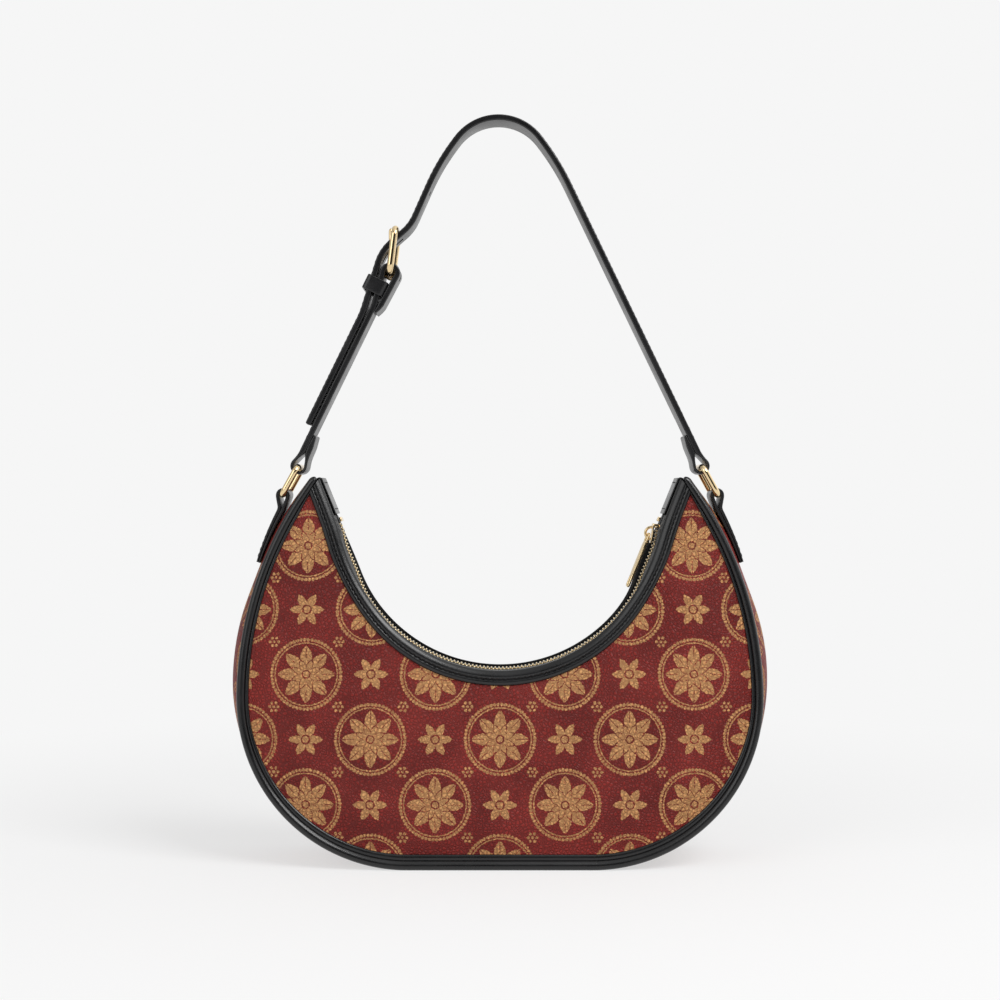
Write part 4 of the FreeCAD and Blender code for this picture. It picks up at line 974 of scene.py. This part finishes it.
def passing(bar, end, aside):
    """Direction of a line to an end point that passes a bar at a distance, with the bar on its right."""
    angle = math.atan2(end[1] - bar[1], end[0] - bar[0]) - math.asin(aside / math.dist(bar, end))
    return (math.cos(angle), math.sin(angle))


def off_line(start, end, along, out):
    """Corner point beside a line: a share of its length along it, and another across to the left."""
    length = math.dist(start, end)
    return shift(start, along * length, out * length, heading(start, end))


def folded_end(bar, direction, side, radius, start, bend, fold, aside, count):
    """Row of points of a strap end: along the strap, aside of a bar, round it, and back to the end, tucked in."""
    layer = STRAP_THICKNESS + 0.1
    corner = shift(bar, bend, -side * aside, direction)
    knee = shift(bar, bend, side * (layer - aside), direction)
    finish = shift(bar, fold, side * (layer - aside - TUCK), direction)
    arrive = (math.atan2(corner[1] - bar[1], corner[0] - bar[0])
              - side * math.acos(radius / math.dist(corner, bar)))
    leave = math.atan2(knee[1] - bar[1], knee[0] - bar[0]) + side * math.acos(radius / math.dist(knee, bar))
    turn = (leave - arrive) % (2 * math.pi) - (2 * math.pi if side > 0 else 0)
    lead = rounded([shift(bar, start, -side * aside, direction), corner, polar(bar, radius, arrive)], [bend])
    back = rounded([polar(bar, radius, leave), knee, finish], [bend])
    return respaced(sampled(lead + [arc(bar, radius, arrive, arrive + turn)] + back, 0.4)[0], count)


left_bar = (-strap_bar[0], strap_bar[1])
apex = (-0.8, strap_bar[1] + 200.5)
right_shoulder = off_line(strap_bar, apex, 0.775, -0.0356)
lower_bar = (-57.4, strap_bar[1] + 101.4)
BUCKLE_LEAN, BUCKLE_LENGTH, BUCKLE_WIRE = math.radians(7.2), 23, 3.6
PRONG_RADIUS = 1.1
buckle_up = (math.sin(BUCKLE_LEAN), math.cos(BUCKLE_LEAN))
upper_bar = shift(lower_bar, BUCKLE_LENGTH, 0, buckle_up)
ASIDE = (STRAP_THICKNESS + 0.1) / 2
right_leg, left_leg = passing(strap_bar, right_shoulder, -ASIDE), passing(left_bar, lower_bar, ASIDE)
right_loop, left_loop = shift(strap_bar, 0.65, 0, right_leg), shift(left_bar, 0.65, 0, left_leg)
left_run = math.dist(shift(left_loop, 0, ASIDE, left_leg), lower_bar)
SKIVED = 1.6              # mm, the strap leather pared down where it goes round a ring
RING_LOOP, BUCKLE_LOOP = RING_WIRE / 2 + 1.15 + SKIVED / 2, BUCKLE_WIRE / 2 + 0.5 + STRAP_THICKNESS / 2
STRAP_END = 24            # mm from a ring to where the long strap and the buckle strap begin
HOLE_PITCH, TAIL_LENGTH = 20, 90
RING_BEND, RING_FOLD, BUCKLE_BEND, BUCKLE_FOLD = 7.6, 18, 19, 21      # mm from a bar to the bend and the fold's end

right_end = folded_end(right_loop, right_leg, 1, RING_LOOP, STRAP_END, RING_BEND, RING_FOLD, ASIDE, 170)
left_end = folded_end(left_loop, left_leg, -1, RING_LOOP, STRAP_END, RING_BEND, RING_FOLD, ASIDE, 170)
buckle_end = folded_end(lower_bar, (-left_leg[0], -left_leg[1]), 1, BUCKLE_LOOP, left_run - STRAP_END, BUCKLE_BEND,
                        BUCKLE_FOLD, 0, 260)
cross_high = shift(lower_bar, 1.14 * BUCKLE_LENGTH, -(BUCKLE_WIRE / 2 + 2 * STRAP_THICKNESS), buckle_up)
cross_low = shift(lower_bar, 0.36 * BUCKLE_LENGTH, BUCKLE_LOOP + 1.5 * STRAP_THICKNESS + 0.7, left_leg)
left_shoulder = off_line(cross_high, apex, 0.409, 0.0547)
TAIL_START, TAIL_ACROSS = 22 + STRAP_THICKNESS, STRAP_THICKNESS + 0.7
tail_knee, tail_end = (shift(lower_bar, -reach, TAIL_ACROSS, left_leg) for reach in (TAIL_START, TAIL_LENGTH))
strap_corners = [shift(right_loop, STRAP_END, -ASIDE, right_leg), right_shoulder, apex, left_shoulder, cross_high,
                 cross_low, tail_knee, tail_end]
STRAP_BENDS = [134, 27, 120, 23, 23, 46]      # mm, radius at each inner corner
long_strap = respaced(sampled(rounded(strap_corners, STRAP_BENDS), 1.0)[0], 440)


def hung(made):
    """Piece of the strap, with its placing baked into its points."""
    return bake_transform(made)


def drilled(made, drills):
    """Piece with each (place, axis, half length, half width, half slot) punched through it: a round-ended slot."""
    for place, axis, depth, radius, slot in drills:
        turn = np.linspace(0, 2 * math.pi, 24, endpoint=False)
        beside = np.array([axis[1], -axis[0]])
        lengthwise = radius * np.sin(turn) + slot * np.sign(np.sin(turn))
        rim = np.stack([place[0] + lengthwise * beside[0], radius * np.cos(turn), place[1] + lengthwise * beside[1]], 1)
        throw = depth * np.array([axis[0], 0, axis[1]])
        cutter = piece("punch", [surface(capped(np.stack([rim - throw, rim + throw])))], strap_calf, None, None)
        cut = made.modifiers.new("punched", "BOOLEAN")
        cut.object, cut.operation, cut.solver = cutter, "DIFFERENCE", "EXACT"
        with_hole = bpy.data.meshes.new_from_object(made.evaluated_get(bpy.context.evaluated_depsgraph_get()))
        made.modifiers.clear()
        made.data = with_hole
        bpy.data.objects.remove(cutter)
    made.data.set_sharp_from_angle(angle=math.radians(40))
    return made


def strap_piece(name, path, thickness, node):
    """One strap piece with its edges rounded over, and its cut end, the last one, worn round over 0.9 mm."""
    worn, along = 0.9, travelled(path)
    reach = worn * (1 - np.cos(np.linspace(0, math.pi / 2, 6)))
    spots = np.concatenate([along[along < along[-1] - 1], along[-1] - reach[::-1]])
    share = np.clip((along[-1] - spots) / worn, 0, 1)
    thickness = np.interp(spots, along, np.broadcast_to(thickness, len(along)))
    thickness = thickness * np.sqrt(0.02 + 0.98 * share * (2 - share))
    strip = ribbon(looked_up(spots, along, path), thickness, STRAP_WIDTH, 0.7)
    return piece(name, [surface(capped(strip))], strap_calf, None, "black_leather", node)


def skived(path, bar, loop):
    """Thickness along a strap end: the loop's own near the bar, growing to the full strap from 4 to 9 mm off it.

    Over the last 6 mm, where the end is sewn down, it is pared away again.
    """
    near = np.clip((np.linalg.norm(path - np.array(bar), axis=1) - 4) / 5, 0, 1)
    along = travelled(path)
    pared = 2 * TUCK * np.clip(1 - (along[-1] - along) / 6, 0, 1)
    return loop + (STRAP_THICKNESS - loop) * near * near * (3 - 2 * near) - pared


half_strap = STRAP_THICKNESS / 2
STRAP_STITCH = (7.0, 3.2, 2.3)    # mm: off the middle, pitch and length
prong_way = heading(lower_bar, shift(upper_bar, 0, BUCKLE_WIRE / 2 + PRONG_RADIUS + 0.1, buckle_up))
upper_leg = heading(cross_high, left_shoulder)
holes = [(shift(lower_bar, -TAIL_START - count * HOLE_PITCH, TAIL_ACROSS, left_leg), left_leg)
         for count in (1, 2)]
holes.append((shift(cross_high, HOLE_PITCH, 0, upper_leg), upper_leg))
punches = [(place, (-way[1], way[0]), 3.0, 1.5, 0.0) for place, way in holes]
prong_hole = shift(lower_bar, 0.62 * BUCKLE_LENGTH, 1.0, prong_way)
punches.append((prong_hole, (-prong_way[1], prong_way[0]), 7.5, 1.6, 7.0))
strap_ends = (("right", right_end, right_loop, 1), ("left", left_end, left_loop, -1))
for name, path, loop, side in strap_ends:
    hung(strap_piece("strap_end_leather_" + name, path, skived(path, loop, SKIVED), "strap_end_" + name))
buckle_strap = strap_piece("buckle_strap_leather", buckle_end, skived(buckle_end, lower_bar, STRAP_THICKNESS),
                           "buckle_strap")
loop_slot = (shift(lower_bar, 4.0, 0, buckle_up), (-buckle_up[1], buckle_up[0]), 9.0, 1.6, 5.5)
hung(drilled(buckle_strap, [loop_slot]))
hung(drilled(strap_piece("main_strap_leather", long_strap, STRAP_THICKNESS, "main_strap"), punches))
hung(sewn("main_strap_stitches", edge_rows(long_strap, -half_strap, *STRAP_STITCH, (3, -3)), None))
hung(sewn("buckle_strap_stitches", edge_rows(buckle_end, half_strap, *STRAP_STITCH, (3, left_run - 50)), None))
for name, path, loop, side in strap_ends:
    hung(sewn("strap_end_stitches_" + name, edge_rows(path, side * half_strap, *STRAP_STITCH, (1, 11)), None))

# Buckle, prong and keeper
buckle = wire_loop(lower_bar, buckle_up, BUCKLE_LENGTH, FRAME_WIDTH, BUCKLE_WIRE, corner=4.0)
piece("buckle_metal", [surface(buckle, True)], gold, "strap", "gold_metal", "buckle_frame")
turn = np.linspace(0, 2 * math.pi, 33)[:-1]
prong_eye = at_y(np.array(lower_bar) + 2.45 * np.stack([np.cos(turn), np.sin(turn)], 1), 0.0)
reach = np.linspace(2.4, 24.6, 30)
prong_shank = at_y(np.array(lower_bar) + reach[:, None] * np.array(prong_way), 0.0)
taper = PRONG_RADIUS * np.sqrt(np.clip(1 - np.clip((reach - 22.6) / 2.0, 0, 1) ** 2, 0.02, 1))
piece("buckle_prong_metal", [surface(tube(prong_eye, 0.62, closed=True, sides=12, round_scale=(1, 1.7)), True),
                             surface(tube(prong_shank, taper, sides=14))], gold, "buckle_prong", "gold_metal",
      "buckle_prong")


KEEPER_SEAT = 9.3         # mm below the buckle's lower bar


def keeper_loop(half_y, low, high, wall_thickness, length, corner):
    """Leather loop round the strap: a rounded rectangle in Y and across the strap, with a rounded strip as section."""
    path = rectangle(-half_y, half_y, low, high, corner, 0.5, 120)
    normal = left_of(unit(np.roll(path, -1, 0) - np.roll(path, 1, 0)))
    turn = np.linspace(0, 2 * math.pi, 28, endpoint=False)
    off, lengthwise = wall_thickness / 2 * squared(np.cos(turn), 0.45), length / 2 * squared(np.sin(turn), 0.18)
    plane = path[:, None] + off[None, :, None] * normal[:, None]
    middle = shift(lower_bar, -KEEPER_SEAT, 0, left_leg)
    return np.stack([middle[0] + lengthwise[None] * left_leg[0] - plane[..., 1] * left_leg[1],
                     plane[..., 0] + 0 * lengthwise[None],
                     middle[1] + lengthwise[None] * left_leg[1] + plane[..., 1] * left_leg[0]], -1)


keeper = keeper_loop(half_y=9.95, low=-1.3, high=9.31, wall_thickness=1.2, length=8.0, corner=1.7)
piece("strap_keeper_leather", [surface(keeper, True)], strap_calf, "strap", "black_leather", "strap_keeper")


# Studio
def studio():
    """Pale floor and world that the camera sees as an even off-white, and large soft lamps."""
    corners = np.array([[x, y, -0.05] for x in (-6000.0, 6000.0) for y in (-3000.0, 9000.0)])
    material, tree, coords = new_material("matt_white_paper")
    ray = add(tree, "LightPath")
    seen = add(tree, "Math", ray.outputs["Is Camera Ray"], ray.outputs["Is Glossy Ray"], operation="MAXIMUM")
    seen = add(tree, "Math", seen, ray.outputs["Is Transmission Ray"], operation="MAXIMUM")
    fibres = add(tree, "TexNoise", coords, sockets={"Scale": 1 / (0.8 * MM)})
    rough = add(tree, "MapRange", fibres, 0.0, 1.0, 0.85, 0.95)
    paper = add(tree, "BsdfPrincipled", sockets={"Base Color": linear("#f8f8f8"), "Roughness": rough,
                                                 "Specular IOR Level": 0.1})
    away = add(tree, "VectorMath", coords, operation="LENGTH").outputs["Value"]
    fade = add(tree, "MapRange", away, 0.16, 0.60, 0.6, 1.0, interpolation_type="SMOOTHSTEP")
    glow = add(tree, "Emission", linear("#ffffff"), add(tree, "MapRange", fade, 0.6, 1.0, 0.97, 0.922))
    share = add(tree, "Math", seen, fade, operation="MULTIPLY")
    add(tree, "OutputMaterial", add(tree, "MixShader", share, paper, glow))
    floor = piece("floor", [(corners, np.array([[0, 2, 3, 1]]))], material, None, None, merge=False)

    world = bpy.data.worlds.new("studio")
    world.use_nodes = True
    tree = world.node_tree
    tree.nodes.clear()
    ray = add(tree, "LightPath")
    seen = add(tree, "Math", ray.outputs["Is Camera Ray"], ray.outputs["Is Transmission Ray"], operation="MAXIMUM")
    # polished things see the white backdrop behind and above the bag, brighter to the right, and a darker room in front
    way = add(tree, "SeparateXYZ", add(tree, "TexCoord").outputs["Generated"])
    room = add(tree, "MapRange", way.outputs["Y"], -0.85, 0.0, 0.03, 1.0, interpolation_type="SMOOTHSTEP")
    sky = add(tree, "MapRange", way.outputs["Z"], 0.35, 0.95, 0.0, 0.9, interpolation_type="SMOOTHSTEP")
    level = add(tree, "Math", room, sky, operation="MAXIMUM")
    right = add(tree, "MapRange", way.outputs["X"], -0.7, 0.7, 0.6, 1.3)
    level = add(tree, "Math", level, right, operation="MULTIPLY")
    mirrored_room = add(tree, "Background", linear("#f6f6f6"), level)
    soft = add(tree, "Background", linear("#ffffff"), 0.42)
    white = add(tree, "Background", linear("#f6f6f6"), 1.0)
    unseen = add(tree, "MixShader", ray.outputs["Is Glossy Ray"], soft, mirrored_room)
    add(tree, "OutputWorld", add(tree, "MixShader", seen, unseen, white))
    bpy.context.scene.world = world

    for name, place, size, power in (("key", (0.75, -0.75, 1.15), 0.7, 13.0), ("fill", (-0.9, -1.0, 0.7), 1.0, 6.0)):
        lamp = bpy.data.lights.new(name, "AREA")
        lamp.size = size
        lamp.energy = power
        holder = bpy.data.objects.new(name, lamp)
        holder.location = place
        way = np.array([0, 0, 0.12]) - np.array(place)     # aimed at the middle of the bag
        holder.rotation_euler = (math.acos(-way[2] / np.linalg.norm(way)), 0, math.atan2(way[0], -way[1]) + math.pi)
        bpy.context.scene.collection.objects.link(holder)

    camera = bpy.data.cameras.new("camera")
    camera.sensor_width = 36
    camera.lens = 58.1
    holder = bpy.data.objects.new("camera", camera)
    holder.location = (0, -0.850, 0.188)
    holder.rotation_euler = (math.pi / 2, 0, 0)
    bpy.context.scene.collection.objects.link(holder)
    bpy.context.scene.camera = holder


studio()
bpy.context.scene.view_settings.view_transform = "Standard"
